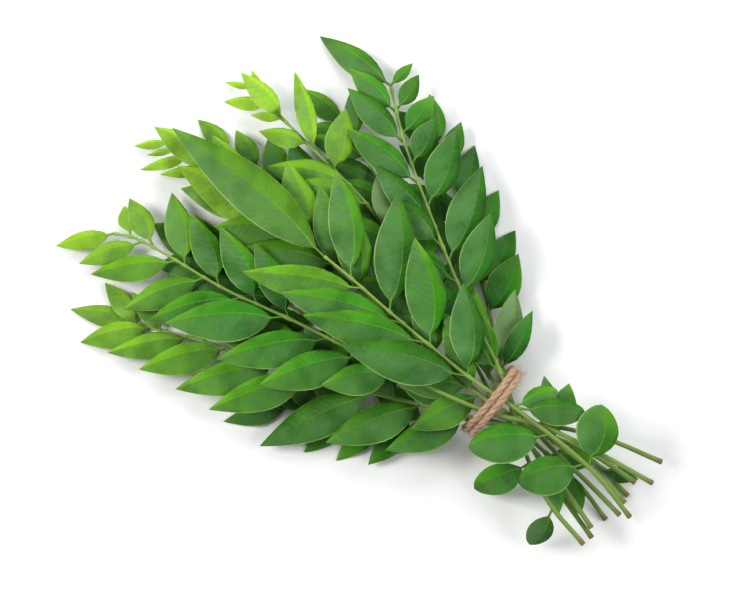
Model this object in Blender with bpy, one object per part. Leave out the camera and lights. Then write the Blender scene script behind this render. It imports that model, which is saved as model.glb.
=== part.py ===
"""A tied bunch of curry leaf sprigs, lying down.

Eleven sprigs cross at a jute tie and fan out from it. Each sprig is a stem with two rows of leaflets.
Plan positions are in millimetres from the middle of the tie: +X runs from the cut ends to the leaf
tips, +Y is to the left and +Z is up from the surface. The sprigs are laid down one by one, and each
stem and leaflet takes its height from the pile of what already lies under it.
"""
import math

import bmesh
import bpy
import numpy as np
from mathutils import Vector, geometry

# Driving dimensions, in millimetres unless a name says otherwise
MM = 0.001
GAP = 0.35                 # clearance between pieces that touch
LEAF_THICK = 0.5
STEM_BUTT_RADIUS = 1.15
STEM_TIP_RADIUS = 0.55
STEM_SIDES = 6
STEM_STEP = 9.0            # length of one straight stretch of a stem
STEM_BAND = 3.0            # a stem clears whatever lies this far to either side of it
STEM_BEND = 130.0          # tightest radius that a stem sags over an obstacle
LEAF_BEND = 55.0           # the same for a leaflet
TWINE_RADIUS = 1.4
TWINE_PITCH = 2.95         # one turn of twine to the next
TWINE_SIDES = 7
TWINE_STEPS = 22           # straight stretches in one turn
TIE_HALF_WIDTH = 13.5      # the stems pass the tie inside this distance from its middle
STALK_HALF_WIDTH = 0.5     # half width of a leaflet where its short stalk meets the stem
STALK_FREE = 1.5           # this much of a stalk lies beside its stem, not on the pile
END_LEAFLET = 2.5          # a leaflet this near the end of its stem grows from the end itself
JOIN_DEPTH = 0.3           # a joined leaflet starts this share of its stem's radius off the stem's middle
LEAF_STATIONS = (0.0, 0.16, 0.36, 0.57, 0.79, 1.0)
SEED = 41

# How the leaflets vary, from the least to the most
FOLD = (0.08, 0.24)        # rise of each half from the midrib to its margin
ROLL = (-0.10, 0.10)       # slope from one margin to the other
HOOK = (0.02, 0.09)        # how far the tip bends forward, as a share of the length
FALL = (0.55, 0.95)        # how much of the drop to the pile is made by the tip
FALL_POWER = 1.3           # above 1, most of the drop comes late

# Roughness of each surface, and the angle that makes an edge sharp
LEAF_ROUGHNESS = 0.4
STEM_ROUGHNESS = 0.55
JUTE_ROUGHNESS = 0.9
SHARP_ANGLE = math.radians(35)

# How finely things are measured
PATH_STEPS = 12            # stretches between two points of a path
PROBES_ALONG = 41          # places along a leaflet where the pile below is measured
PROBES_ACROSS = 15
COVER_ALONG = 0.4          # spacing of the points that raise the pile under a leaflet, in millimetres
COVER_ACROSS = 0.2
STEM_LINES = 7             # lines along a stem that raise the pile
STEM_MARGIN = (1.1, 1.02)  # a stem is laid this much wider and this much taller than its radius

# The tie, measured in turns
TIE_START = 0.03
TIE_END = 1.90
TIE_SHIFT = (0.93, 0.10)   # where the twine starts to cross to its second turn, and for how long
TIE_CORNERS = 16           # points round each place that the twine has to clear

# The plan that the pile is measured on
CELL = 0.5
PLAN_LOW = (-85.0, -95.0)
PLAN_HIGH = (195.0, 95.0)

# Leaf outlines: the share of the length that is stalk, where the widest point lies, and how full it is
LANCE = (0.05, 0.78, 0.95)
ROUND = (0.10, 0.95, 0.60)

# Colours, as linear red, green, blue
MATURE_GREEN = (0.050, 0.170, 0.022)
YOUNG_GREEN = (0.220, 0.430, 0.030)
SHADED_GREEN = (0.025, 0.095, 0.016)
STEM_GREEN = (0.130, 0.220, 0.035)
JUTE_TAN = (0.420, 0.250, 0.120)

# The sprigs, from the bottom of the pile to the top. A path runs from the cut end to the last leaflet.
# A leaflet is (distance along the stem, angle to it in degrees with left positive, length, width).
# One that points back towards the cut end has an angle over 90 degrees.
SPRIGS = {
    "left_back": {
        "whole": True,
        "green": SHADED_GREEN,
        "path": [(-67, -5), (-45, -7), (-19, 0), (2, 10), (23, 28), (42, 42), (62, 54)],
        "leaflets": [(15, -157, 15, 7), (84, 36, 26, 11), (92, -38, 26, 11), (97, 50, 25, 11),
                     (110, 52, 24, 10), (116, -38, 28, 12), (122, 48, 23, 9), (129, -38, 28, 12),
                     (133, 44, 22, 9), (139, -34, 24, 10), (147, 22, 26, 9)],
    },
    "inner_back": {
        "whole": True,
        "green": SHADED_GREEN,
        "path": [(-65, -11), (-45, -9), (-20, -2), (3, 6), (30, 13), (62, 18), (95, 22), (130, 27)],
        "leaflets": [(113, 42, 32, 13), (126, -42, 32, 14), (129, 42, 32, 14), (142, -42, 34, 15),
                     (145, 42, 32, 14), (157, -40, 32, 14), (161, 40, 30, 14), (171, -38, 30, 13),
                     (176, 38, 28, 13), (186, -30, 24, 11), (191, 40, 24, 11),
                     (195, 4, 25, 12)],
    },
    "mid_back": {
        "whole": True,
        "green": SHADED_GREEN,
        "path": [(-66, 8), (-49, 4), (-24, 2), (2, 1), (50, -4), (96, -10), (130, -13), (145, -12)],
        "leaflets": [(25, 154, 18, 9), (36, -150, 20, 10), (110, 46, 32, 15), (124, -46, 34, 15),
                     (138, 45, 34, 15), (150, -40, 36, 15), (163, -31, 39, 17), (166, 36, 36, 16),
                     (178, 40, 34, 15), (185, -35, 24, 12), (188, 34, 28, 12),
                     (199, -24, 18, 9), (204, 30, 20, 9), (212, -14, 18, 8)],
    },
    "right_back": {
        "whole": True,
        "green": SHADED_GREEN,
        "path": [(-65, 17), (-40, 10), (-17, 1), (1, -10), (15, -21), (37, -38), (62, -55), (82, -67)],
        "leaflets": [(77, -43, 26, 9), (79, -25, 30, 12), (100, -43, 26, 14), (112, -48, 25, 13),
                     (121, 40, 28, 12),
                     (130, -50, 23, 12), (138, 44, 28, 12), (148, -41, 22, 11), (154, 40, 26, 11),
                     (162, -44, 18, 9), (168, 30, 24, 10), (171, -16, 20, 9)],
    },
    "right_inner": {
        "whole": True,
        "green": SHADED_GREEN,
        "path": [(-62, 14), (-38, 7), (-12, 2), (2, -2), (30, -15), (60, -29), (92, -41), (117, -50)],
        "leaflets": [(30, 156, 20, 9), (92, 40, 30, 13), (104, -40, 28, 12), (116, 42, 30, 14),
                     (128, -40, 28, 12),
                     (138, 42, 30, 13), (150, 40, 28, 12), (162, 44, 26, 11), (174, 42, 24, 10),
                     (182, -30, 20, 8), (184, 52, 20, 9), (193, 24, 22, 9)],
    },
    "mid_right": {
        "whole": True,
        "green": YOUNG_GREEN,
        "path": [(-68, 3), (-50, 1), (-27, -1), (1, -6), (22, -11), (51, -19), (85, -29), (115, -33),
                 (154, -37)],
        "leaflets": [(76, -34, 26, 9), (86, -38, 28, 11), (100, -46, 30, 13), (112, 42, 34, 15),
                     (126, -44, 30, 13), (138, 40, 34, 15), (148, -36, 27, 11), (160, 38, 32, 14),
                     (170, 34, 34, 14),
                     (179, -58, 25, 12), (190, -32, 33, 8), (194, 34, 20, 8), (206, -5, 27, 9),
                     (208, 40, 13, 4), (216, 42, 18, 6), (220, -29, 12, 4), (226, 34, 11, 3)],
    },
    "left_outer": {
        "whole": True,
        "green": MATURE_GREEN,
        "path": [(-68, -24), (-44, -17), (-20, -5), (-2, 9), (12, 14), (28, 22), (52, 33), (78, 44),
                 (103, 53), (122, 62), (131, 65)],
        "leaflets": [(45, -98, 18, 11), (82, 51, 34, 13), (92, -40, 28, 13), (100, 36, 41, 15),
                     (110, -42, 32, 14), (120, 41, 50, 16), (128, -42, 32, 14), (146, 38, 42, 14),
                     (150, -42, 32, 14), (160, 33, 41, 14), (170, -42, 30, 13),
                     (181, 35, 36, 13), (190, -42, 26, 11), (197, 29, 33, 11), (208, -42, 20, 8),
                     (213, 34, 29, 11), (217, -32, 20, 9), (220, 13, 27, 9)],
    },
    "mid_left": {
        "whole": True,
        "green": YOUNG_GREEN,
        "path": [(-66, -2), (-52, -4), (-23, -3), (3, 1), (27, 1), (59, -1), (103, -4), (142, -2),
                 (166, 1)],
        "leaflets": [(38, -50, 26, 11), (73, 66, 30, 13), (76, -34, 30, 11), (78, 36, 30, 11),
                     (92, 38, 32, 13), (96, -42, 32, 13), (108, -42, 34, 15), (120, 40, 36, 16),
                     (136, -40, 34, 14), (149, -40, 32, 13), (150, 38, 38, 16),
                     (164, -38, 32, 14), (166, 36, 36, 15),
                     (170, 13, 54, 18), (184, 26, 36, 15), (196, -30, 26, 11),
                     (210, -7, 30, 11), (213, 46, 20, 5), (222, 50, 21, 5), (227, -30, 10, 3),
                     (228, 46, 13, 3), (233, 40, 14, 4)],
    },
    "right": {
        "whole": False,
        "green": MATURE_GREEN,
        "path": [(-63, 21), (-40, 16), (-15, 3), (1, -9), (20, -18), (39, -27), (69, -44), (93, -59),
                 (111, -73)],
        "leaflets": [(76, 24, 34, 11), (102, 40, 30, 12), (110, -45, 35, 14), (116, 38, 28, 11),
                     (125, -43, 41, 15), (131, 26, 27, 11), (140, 28, 34, 11), (148, -43, 33, 14),
                     (158, 34, 36, 12), (166, -46, 21, 11), (175, 31, 32, 11), (179, -58, 20, 10),
                     (188, 36, 26, 10), (189, -48, 17, 8), (197, -58, 13, 5), (199, 44, 35, 11)],
    },
    "left_inner": {
        "whole": False,
        "green": MATURE_GREEN,
        "path": [(-69, -15), (-46, -11), (-20, -5), (2, 5), (40, 15), (80, 24), (111, 32), (137, 36),
                 (152, 39), (160, 43)],
        "leaflets": [(110, 36, 31, 13), (127, 47, 42, 15), (138, -40, 34, 13), (141, 41, 45, 15),
                     (158, -44, 33, 12), (160, 30, 48, 17), (172, -45, 34, 13), (179, 40, 38, 14),
                     (189, -44, 31, 12), (196, 53, 35, 12), (205, -51, 30, 12), (209, 43, 35, 11),
                     (220, -38, 22, 10), (225, 47, 27, 9), (230, -62, 13, 8), (236, 26, 24, 8)],
    },
    "centre": {
        "whole": False,
        "green": MATURE_GREEN,
        "path": [(-70, 1), (-45, -4), (-11, -4), (14, -2), (47, -2), (74, -3), (88, -3)],
        "leaflets": [(85, -52, 37, 14), (85, 26, 52, 17), (104, -47, 43, 16), (106, 29, 50, 15),
                     (118, 27, 50, 15), (125, -56, 47, 17), (139, 38, 48, 14), (145, -46, 43, 14),
                     (158, -5, 79, 19)],
    },
}

# Leaflets that lie on top near the cut ends, most of them broad and blunt: the name of the sprig, then
# the four values of a leaflet
BUTT_LEAFLETS = [("right", 39, 100, 24, 13), ("centre", 64, -128, 19, 9), ("centre", 63, -151, 28, 11),
                 ("centre", 28, 62, 27, 16), ("centre", 26, -61, 25, 17), ("centre", 46, 51, 32, 16),
                 ("right", 19, 121, 18, 10)]


def turn(x, y, degrees):
    """The vector (x, y) turned to the left."""
    angle = math.radians(degrees)
    return (x * math.cos(angle) - y * math.sin(angle), x * math.sin(angle) + y * math.cos(angle))


class Pile:
    """The height of everything laid down so far, on a fine square grid."""

    def __init__(self):
        columns = int((PLAN_HIGH[0] - PLAN_LOW[0]) / CELL) + 1
        rows = int((PLAN_HIGH[1] - PLAN_LOW[1]) / CELL) + 1
        self.top = np.zeros((columns, rows))

    def cells(self, x, y):
        i = np.rint((np.asarray(x) - PLAN_LOW[0]) / CELL).astype(int)
        j = np.rint((np.asarray(y) - PLAN_LOW[1]) / CELL).astype(int)
        return np.clip(i, 1, self.top.shape[0] - 2), np.clip(j, 1, self.top.shape[1] - 2)

    def height(self, x, y):
        return self.top[self.cells(x, y)]

    def cover(self, x, y, z):
        """Raise the pile to z at these points and in the cells next to them."""
        i, j = self.cells(x, y)
        for di in (-1, 0, 1):
            for dj in (-1, 0, 1):
                np.maximum.at(self.top, (i + di, j + dj), z)


def sag_over(distance, need, bend):
    """The lowest line over the heights in need whose sag is no tighter than the radius bend."""
    apart = distance[:, None] - distance[None, :]
    return (need[None, :] - apart ** 2 / (2 * bend)).max(axis=1)


class Path:
    """A smooth plan curve through a few points, measured by distance from its start."""

    def __init__(self, points):
        ends = [np.array(p, float) for p in points]
        ends = [2 * ends[0] - ends[1]] + ends + [2 * ends[-1] - ends[-2]]
        steps = np.linspace(0, 1, PATH_STEPS, endpoint=False)[:, None]
        runs = []
        for a, b, c, d in zip(ends, ends[1:], ends[2:], ends[3:]):
            runs.append(0.5 * (2 * b + (c - a) * steps + (2 * a - 5 * b + 4 * c - d) * steps ** 2
                               + (3 * b - 3 * c + d - a) * steps ** 3))
        self.points = np.vstack(runs + [ends[-2][None, :]])
        lengths = np.hypot(*np.diff(self.points, axis=0).T)
        self.distance = np.concatenate([[0], np.cumsum(lengths)])
        self.length = self.distance[-1]

    def at(self, distance):
        x = np.interp(distance, self.distance, self.points[:, 0])
        y = np.interp(distance, self.distance, self.points[:, 1])
        return x, y

    def along(self, distance):
        """The unit direction of the path at a distance."""
        distance = np.clip(distance, 0, self.length)
        x0, y0 = self.at(np.maximum(distance - 1.0, 0))
        x1, y1 = self.at(np.minimum(distance + 1.0, self.length))
        size = np.hypot(x1 - x0, y1 - y0)
        return (x1 - x0) / size, (y1 - y0) / size


class Stem:
    """One stem laid over the pile: its plan path, and its height and radius at each distance."""

    def __init__(self, pile, points):
        self.path = Path(points)
        self.distance = np.linspace(0, self.path.length, int(self.path.length) + 1)
        x, y = self.path.at(self.distance)
        dx, dy = self.path.along(self.distance)
        sides = np.arange(-STEM_BAND, STEM_BAND + CELL, CELL)[None, :]
        below = pile.height(x[:, None] - dy[:, None] * sides, y[:, None] + dx[:, None] * sides)
        self.radius = np.interp(self.distance, [0, self.path.length], [STEM_BUTT_RADIUS, STEM_TIP_RADIUS])
        need = below.max(axis=1) + self.radius + np.where(below.max(axis=1) > 0, GAP, 0.0)
        self.height = sag_over(self.distance, need, STEM_BEND)

    def place(self, distance):
        """Position, direction, height and radius at a distance along the stem."""
        x, y = self.path.at(distance)
        dx, dy = self.path.along(distance)
        height = np.interp(distance, self.distance, self.height)
        return x, y, dx, dy, height, np.interp(distance, self.distance, self.radius)

    def cover(self, pile):
        x, y, dx, dy, height, radius = self.place(self.distance)
        wider, taller = STEM_MARGIN
        for side in np.linspace(-wider, wider, STEM_LINES):
            pile.cover(x - dy * radius * side, y + dx * radius * side, height + radius * taller)


class Leaflet:
    """One leaflet: a folded blade that starts at its stem and sags onto the pile."""

    def __init__(self, pile, stem, leaflet, outline, rng, joined):
        at, angle, length, width = leaflet
        x, y, dx, dy, height, radius = stem.place(at)
        side = math.copysign(1, angle)
        self.half_width = width / 2
        self.outline = outline
        self.fold = rng.uniform(*FOLD)
        self.roll = rng.uniform(*ROLL)
        self.hook = rng.uniform(*HOOK) * -side
        self.fall = rng.uniform(*FALL)
        self.bearing = turn(dx, dy, angle)
        if joined:
            clear = radius * JOIN_DEPTH
        else:
            clear = radius + GAP + STALK_HALF_WIDTH
        if at >= stem.path.length - END_LEAFLET:
            x, y = stem.path.at(stem.path.length)
            reach = clear - radius
        else:
            reach = clear / abs(math.sin(math.radians(angle)))
        self.base = (x + self.bearing[0] * reach, y + self.bearing[1] * reach)
        self.length = length - reach
        self.base_height = height - LEAF_THICK / 2
        self.settle(pile)

    def plan(self, t, s):
        """Plan position at a share t of the length, and s from one margin (-1) to the other (1)."""
        along = self.length * t
        aside = self.length * self.hook * t ** 2 + self.half(t) * s
        return (self.base[0] + self.bearing[0] * along - self.bearing[1] * aside,
                self.base[1] + self.bearing[1] * along + self.bearing[0] * aside)

    def half(self, t):
        """Half the width at a share of the length."""
        stalk, widest, fullness = self.outline
        along_blade = np.clip((t - stalk) / (1 - stalk), 0, 1)
        blade = np.abs(np.sin(np.pi * along_blade ** widest)) ** fullness
        return np.maximum(self.half_width * blade, STALK_HALF_WIDTH * (1 - t))

    def rise(self, t, s):
        """How far a point of the blade stands above the midrib beside it."""
        return self.half(t) * (self.fold * np.abs(s) + self.roll * s)

    def settle(self, pile):
        """Set the height of the midrib at each station, so that the whole blade clears the pile."""
        t = np.linspace(0, 1, PROBES_ALONG)
        t_grid, s_grid = np.meshgrid(t, np.linspace(-1, 1, PROBES_ACROSS), indexing="ij")
        below = pile.height(*self.plan(t_grid, s_grid))
        need = (below + np.where(below > 0, GAP, 0.0) - self.rise(t_grid, s_grid)).max(axis=1)
        free = t * self.length < STALK_FREE
        need[free] = need[~free][0]
        rest = sag_over(self.length * t, need, LEAF_BEND)
        above = np.maximum(self.base_height - rest, 0)
        wanted = rest + above * (1 - self.fall * t ** FALL_POWER)
        stations = np.array(LEAF_STATIONS)
        self.heights = np.interp(stations, t, wanted)
        self.heights[0] = self.base_height
        first = (t > stations[1] * 0.3) & (t <= stations[1])
        lift = self.base_height + (need[first] - self.base_height) * stations[1] / t[first]
        self.heights[1] = max(self.heights[1], lift.max())
        for k in range(1, len(stations) - 1):
            inside = (t >= stations[k]) & (t <= stations[k + 1])
            short = (rest[inside] - self.level(t[inside])).max()
            self.heights[k:k + 2] += max(short, 0)

    def level(self, t):
        """Height of the midrib's underside at a share of the length."""
        return np.interp(t, LEAF_STATIONS, self.heights)

    def cover(self, pile):
        t = np.linspace(0, 1, int(self.length / COVER_ALONG) + 2)
        s = np.linspace(-1, 1, int(self.half_width / COVER_ACROSS) + 3)
        t_grid, s_grid = np.meshgrid(t, s, indexing="ij")
        x, y = self.plan(t_grid, s_grid)
        pile.cover(x, y, self.level(t_grid) + self.rise(t_grid, s_grid) + LEAF_THICK)

    def add_blade(self, bm):
        """Add the blade to a mesh: a strip of faces either side of the midrib, given its thickness."""
        rows = []
        for t in LEAF_STATIONS[:-1]:
            row = []
            for s in (-1.0, 0.0, 1.0):
                x, y = self.plan(t, s)
                row.append(bm.verts.new((x * MM, y * MM, (self.level(t) + self.rise(t, s)) * MM)))
            rows.append(row)
        x, y = self.plan(1.0, 0.0)
        tip = bm.verts.new((x * MM, y * MM, self.level(1.0) * MM))
        faces = []
        for near, far in zip(rows, rows[1:]):
            for side in (0, 1):
                faces.append(bm.faces.new((near[side], far[side], far[side + 1], near[side + 1])))
        for side in (0, 1):
            faces.append(bm.faces.new((rows[-1][side], tip, rows[-1][side + 1])))
        thicker = bmesh.ops.extrude_face_region(bm, geom=faces)
        upper = [v for v in thicker["geom"] if isinstance(v, bmesh.types.BMVert)]
        bmesh.ops.translate(bm, verts=upper, vec=(0, 0, LEAF_THICK * MM))


def finish(bm, name, colour, roughness, parent):
    """Turn a mesh into a named object with its own material."""
    bmesh.ops.recalc_face_normals(bm, faces=bm.faces[:])
    mesh = bpy.data.meshes.new(name)
    bm.to_mesh(mesh)
    bm.free()
    mesh.shade_smooth()
    mesh.set_sharp_from_angle(angle=SHARP_ANGLE)
    material = bpy.data.materials.new(name)
    material.use_nodes = True
    shader = material.node_tree.nodes["Principled BSDF"]
    shader.inputs["Base Color"].default_value = (*colour, 1)
    shader.inputs["Roughness"].default_value = roughness
    shader.inputs["Metallic"].default_value = 0.0
    mesh.materials.append(material)
    piece = bpy.data.objects.new(name, mesh)
    bpy.context.scene.collection.objects.link(piece)
    piece.parent = parent
    return piece


def add_tube(bm, centres, radii, sides):
    """Add a tube with flat ends to a mesh. Centres and radii are in millimetres."""
    centres = [Vector(c) for c in centres]
    rings = []
    for k, (centre, radius) in enumerate(zip(centres, radii)):
        ahead = centres[min(k + 1, len(centres) - 1)] - centres[max(k - 1, 0)]
        ahead.normalize()
        if rings:
            across = (across - ahead * across.dot(ahead)).normalized()
        else:
            across = ahead.orthogonal().normalized()
        upright = ahead.cross(across)
        ring = []
        for side in range(sides):
            angle = 2 * math.pi * side / sides
            spoke = across * math.cos(angle) + upright * math.sin(angle)
            ring.append(bm.verts.new((centre + spoke * radius) * MM))
        rings.append(ring)
    for near, far in zip(rings, rings[1:]):
        for side in range(sides):
            after = (side + 1) % sides
            bm.faces.new((near[side], near[after], far[after], far[side]))
    bm.faces.new(rings[0])
    bm.faces.new(rings[-1])


def add_stem(bm, stem):
    count = int(stem.path.length / STEM_STEP) + 1
    distance = np.linspace(0, stem.path.length, count)
    x, y, dx, dy, height, radius = stem.place(distance)
    add_tube(bm, zip(x, y, height), radius, STEM_SIDES)


def lay_tie_under(pile):
    """Keep the space that the twine takes below the stems."""
    x, y = np.meshgrid(np.arange(-TWINE_PITCH / 2 - TWINE_RADIUS, TWINE_PITCH / 2 + TWINE_RADIUS, CELL),
                       np.arange(-TIE_HALF_WIDTH, TIE_HALF_WIDTH, CELL))
    pile.cover(x, y, np.full(x.shape, 2 * TWINE_RADIUS))


def tie_outline(pile):
    """The closed line that one tight turn follows across the bundle, as (y, z) points."""
    x = np.arange(-TWINE_PITCH, TWINE_PITCH + CELL, CELL)[:, None]
    y = np.arange(-TIE_HALF_WIDTH - 1, TIE_HALF_WIDTH + 1, CELL)
    tops = pile.height(x, y[None, :]).max(axis=0)
    floor = 2 * TWINE_RADIUS + GAP
    around = []
    for across, top in zip(y, tops):
        if top > floor + STEM_TIP_RADIUS:
            for height in (floor, top):
                for step in range(TIE_CORNERS):
                    angle = 2 * math.pi * step / TIE_CORNERS
                    spread = TWINE_RADIUS + GAP
                    around.append((across + spread * math.cos(angle), height + spread * math.sin(angle)))
    corners = [around[k] for k in geometry.convex_hull_2d(around)]
    return np.array(corners + corners[:1])


def add_tie(bm, pile):
    """Add the twine: two turns side by side, crossing over underneath, with both ends tucked there."""
    outline = tie_outline(pile)
    lowest = np.lexsort((abs(outline[:-1, 0]), outline[:-1, 1].round(3)))[0]
    outline = np.vstack([outline[lowest:-1], outline[:lowest + 1]])
    lengths = np.hypot(*np.diff(outline, axis=0).T)
    distance = np.concatenate([[0], np.cumsum(lengths)])
    turns = np.linspace(TIE_START, TIE_END, int(TIE_END * TWINE_STEPS))
    around = (turns % 1.0) * distance[-1]
    y = np.interp(around, distance, outline[:, 0])
    z = np.interp(around, distance, outline[:, 1])
    start, stretch = TIE_SHIFT
    shift = np.clip((turns - start) / stretch, 0, 1)
    x = TWINE_PITCH * (shift - 0.5)
    add_tube(bm, zip(x, y, z), [TWINE_RADIUS] * len(turns), TWINE_SIDES)


def lay_sprig(pile, sprig, rng):
    """Lay one sprig: its stem, then its leaflets from the tip back, so that each covers the next."""
    stem = Stem(pile, sprig["path"])
    stem.cover(pile)
    blades = []
    for leaflet in sorted(sprig["leaflets"], reverse=True):
        blade = Leaflet(pile, stem, leaflet, LANCE, rng, sprig["whole"])
        blade.cover(pile)
        blades.append(blade)
    return stem, blades


def build_sprig(name, sprig, stem, blades, parent):
    """Make the objects of one sprig: one body, or a stem and its separate leaflets."""
    bm = bmesh.new()
    add_stem(bm, stem)
    if not sprig["whole"]:
        finish(bm, "stem_" + name, STEM_GREEN, STEM_ROUGHNESS, parent)
        for number, blade in enumerate(blades, start=1):
            bm = bmesh.new()
            blade.add_blade(bm)
            finish(bm, f"leaflet_{name}_{number:02d}", sprig["green"], LEAF_ROUGHNESS, parent)
        return
    whole = finish(bm, "sprig_" + name, sprig["green"], LEAF_ROUGHNESS, parent)
    bm = bmesh.new()
    for blade in blades:
        blade.add_blade(bm)
    leaves = finish(bm, "blades_" + name, sprig["green"], LEAF_ROUGHNESS, parent)
    leaves.hide_render = True
    leaves.display_type = "WIRE"
    union = whole.modifiers.new("Leaflets", "BOOLEAN")
    union.operation = "UNION"
    union.solver = "EXACT"
    union.use_self = True
    union.object = leaves


def build():
    for old in list(bpy.data.objects):
        bpy.data.objects.remove(old)
    bunch = bpy.data.objects.new("bunch", None)
    bpy.context.scene.collection.objects.link(bunch)
    rng = np.random.default_rng(SEED)
    pile = Pile()
    lay_tie_under(pile)
    laid = {}
    for name, sprig in SPRIGS.items():
        laid[name] = lay_sprig(pile, sprig, rng)
    tie = bmesh.new()
    add_tie(tie, pile)
    finish(tie, "jute_tie", JUTE_TAN, JUTE_ROUGHNESS, bunch)
    for name, *leaflet in BUTT_LEAFLETS:
        stem, blades = laid[name]
        blade = Leaflet(pile, stem, leaflet, ROUND, rng, SPRIGS[name]["whole"])
        blade.cover(pile)
        blades.append(blade)
    for name, sprig in SPRIGS.items():
        build_sprig(name, sprig, *laid[name], bunch)
    corners = [Vector(c) for piece in bunch.children for c in piece.bound_box]
    low_x, high_x = min(c.x for c in corners), max(c.x for c in corners)
    low_y, high_y = min(c.y for c in corners), max(c.y for c in corners)
    bunch.location = (-(low_x + high_x) / 2, -(low_y + high_y) / 2, 0)
    print("height in mm", round(pile.top.max(), 1), "middle at", [round(v / MM, 2) for v in bunch.location])


build()
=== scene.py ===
# %% [markdown]
# # A tied bunch of curry leaf sprigs
#
# This lesson builds a small market bunch: eleven sprigs cross at a jute tie and fan out from it. Each
# sprig is one compound leaf, a thin green stem with two rows of leaflets. The bunch lies on its lowest
# leaves.
#
# The solid model gives the place and size of every stem and leaflet as plain solids. Here each gets its
# real surface: veined blades with a folded midrib and a toothed margin, stems with nodes and cut ends,
# and three-ply twine with loose fibres.

# %% Load the solid model
import math

import bpy
import numpy as np
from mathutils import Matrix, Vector, geometry

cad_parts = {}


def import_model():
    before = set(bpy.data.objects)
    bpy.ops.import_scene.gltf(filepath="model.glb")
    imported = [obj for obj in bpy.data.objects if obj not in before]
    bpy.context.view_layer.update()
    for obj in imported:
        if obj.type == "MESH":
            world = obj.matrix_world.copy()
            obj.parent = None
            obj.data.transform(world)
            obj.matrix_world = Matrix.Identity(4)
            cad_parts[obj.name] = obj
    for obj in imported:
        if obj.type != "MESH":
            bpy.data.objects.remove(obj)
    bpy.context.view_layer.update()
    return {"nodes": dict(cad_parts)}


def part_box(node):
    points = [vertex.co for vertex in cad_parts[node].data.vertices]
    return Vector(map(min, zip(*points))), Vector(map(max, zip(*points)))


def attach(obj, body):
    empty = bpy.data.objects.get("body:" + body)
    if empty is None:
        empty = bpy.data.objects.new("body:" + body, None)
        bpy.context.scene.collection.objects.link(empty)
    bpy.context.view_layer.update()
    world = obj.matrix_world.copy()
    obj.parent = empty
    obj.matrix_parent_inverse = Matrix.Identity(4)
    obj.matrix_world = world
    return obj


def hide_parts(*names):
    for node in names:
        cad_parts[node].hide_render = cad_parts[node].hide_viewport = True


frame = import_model()
print("solid nodes:", len(frame["nodes"]))

# %% [markdown]
# ## How the bunch is laid
#
# A bunch looks right when its leaves lie on each other the way real ones do. Placing 166 blades by
# eye would be slow, and a physics run would be hard to steer. So the bunch is laid by a rule: the sprigs
# go down one by one, and each stem and blade takes its height from the pile below it. The rule and the
# plan are the ones that the solid model was made with, so each fine blade lies where its solid does.
#
# Lengths in this plan are in millimetres, because a leaf is easier to think of in millimetres.

# %% Sizes
MM = 0.001
GAP = 0.35                 # clearance between pieces that touch
LEAF_THICK = 0.5           # thickness of a blade in the solid model
STEM_BUTT_RADIUS = 1.15
STEM_TIP_RADIUS = 0.55
STEM_BAND = 3.0            # a stem clears whatever lies this far to either side of it
STEM_BEND = 130.0          # tightest radius that a stem sags over an obstacle
LEAF_BEND = 55.0           # the same for a leaflet
TWINE_RADIUS = 1.4
TWINE_PITCH = 2.95         # one turn of twine to the next
TIE_HALF_WIDTH = 13.5      # the stems pass the tie inside this distance from its middle
STALK_HALF_WIDTH = 0.5     # half width of a leaflet where its short stalk meets the stem
STALK_FREE = 1.5           # this much of a stalk lies beside its stem, not on the pile
END_LEAFLET = 2.5          # a leaflet this near the end of its stem grows from the end itself
JOIN_DEPTH = 0.3           # a joined leaflet starts this share of its stem's radius off the stem's middle
LEAF_STATIONS = (0.0, 0.16, 0.36, 0.57, 0.79, 1.0)
SEED = 41

# How the leaflets vary, from the least to the most
FOLD = (0.08, 0.24)        # rise of each half from the midrib to its margin
ROLL = (-0.10, 0.10)       # slope from one margin to the other
HOOK = (0.02, 0.09)        # how far the tip bends forward, as a share of the length
FALL = (0.55, 0.95)        # how much of the drop to the pile is made by the tip
FALL_POWER = 1.3           # above 1, most of the drop comes late

# How finely things are measured
PATH_STEPS = 12            # stretches between two points of a path
PROBES_ALONG = 41          # places along a leaflet where the pile below is measured
PROBES_ACROSS = 15
COVER_ALONG = 0.4          # spacing of the points that raise the pile under a leaflet
COVER_ACROSS = 0.2
STEM_LINES = 7             # lines along a stem that raise the pile
STEM_MARGIN = (1.1, 1.02)  # how many radii a stem raises the pile to either side, and above its middle
TIE_CORNERS = 16           # points round each place that the twine has to clear

# The plan that the pile is measured on
CELL = 0.5
PLAN_LOW = (-85.0, -95.0)
PLAN_HIGH = (195.0, 95.0)

# The finish slot of each sprig's leaves, where it isn't the mature one
SLOTS = dict.fromkeys(("mid_left", "mid_right"), "leaf_young")
SHADED = ("left_back", "inner_back", "mid_back", "right_back", "right_inner")
SLOTS.update(dict.fromkeys(SHADED, "leaf_shaded"))

# Leaf outlines: the share of the length that is stalk, where the widest point lies, and how full it is
LANCE = (0.05, 0.78, 0.95)
ROUND = (0.10, 0.95, 0.60)
print("blade outlines:", LANCE, ROUND)

# %% [markdown]
# The sprigs are listed from the bottom of the pile to the top. A path is the stem's plan line from its
# cut end to its last leaflet, and a smooth curve goes through its few points. A leaflet is a row of four
# values: its distance along the stem, its angle to the stem in degrees with left positive, its length
# and its width. An angle over 90 degrees points back towards the cut end.

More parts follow.
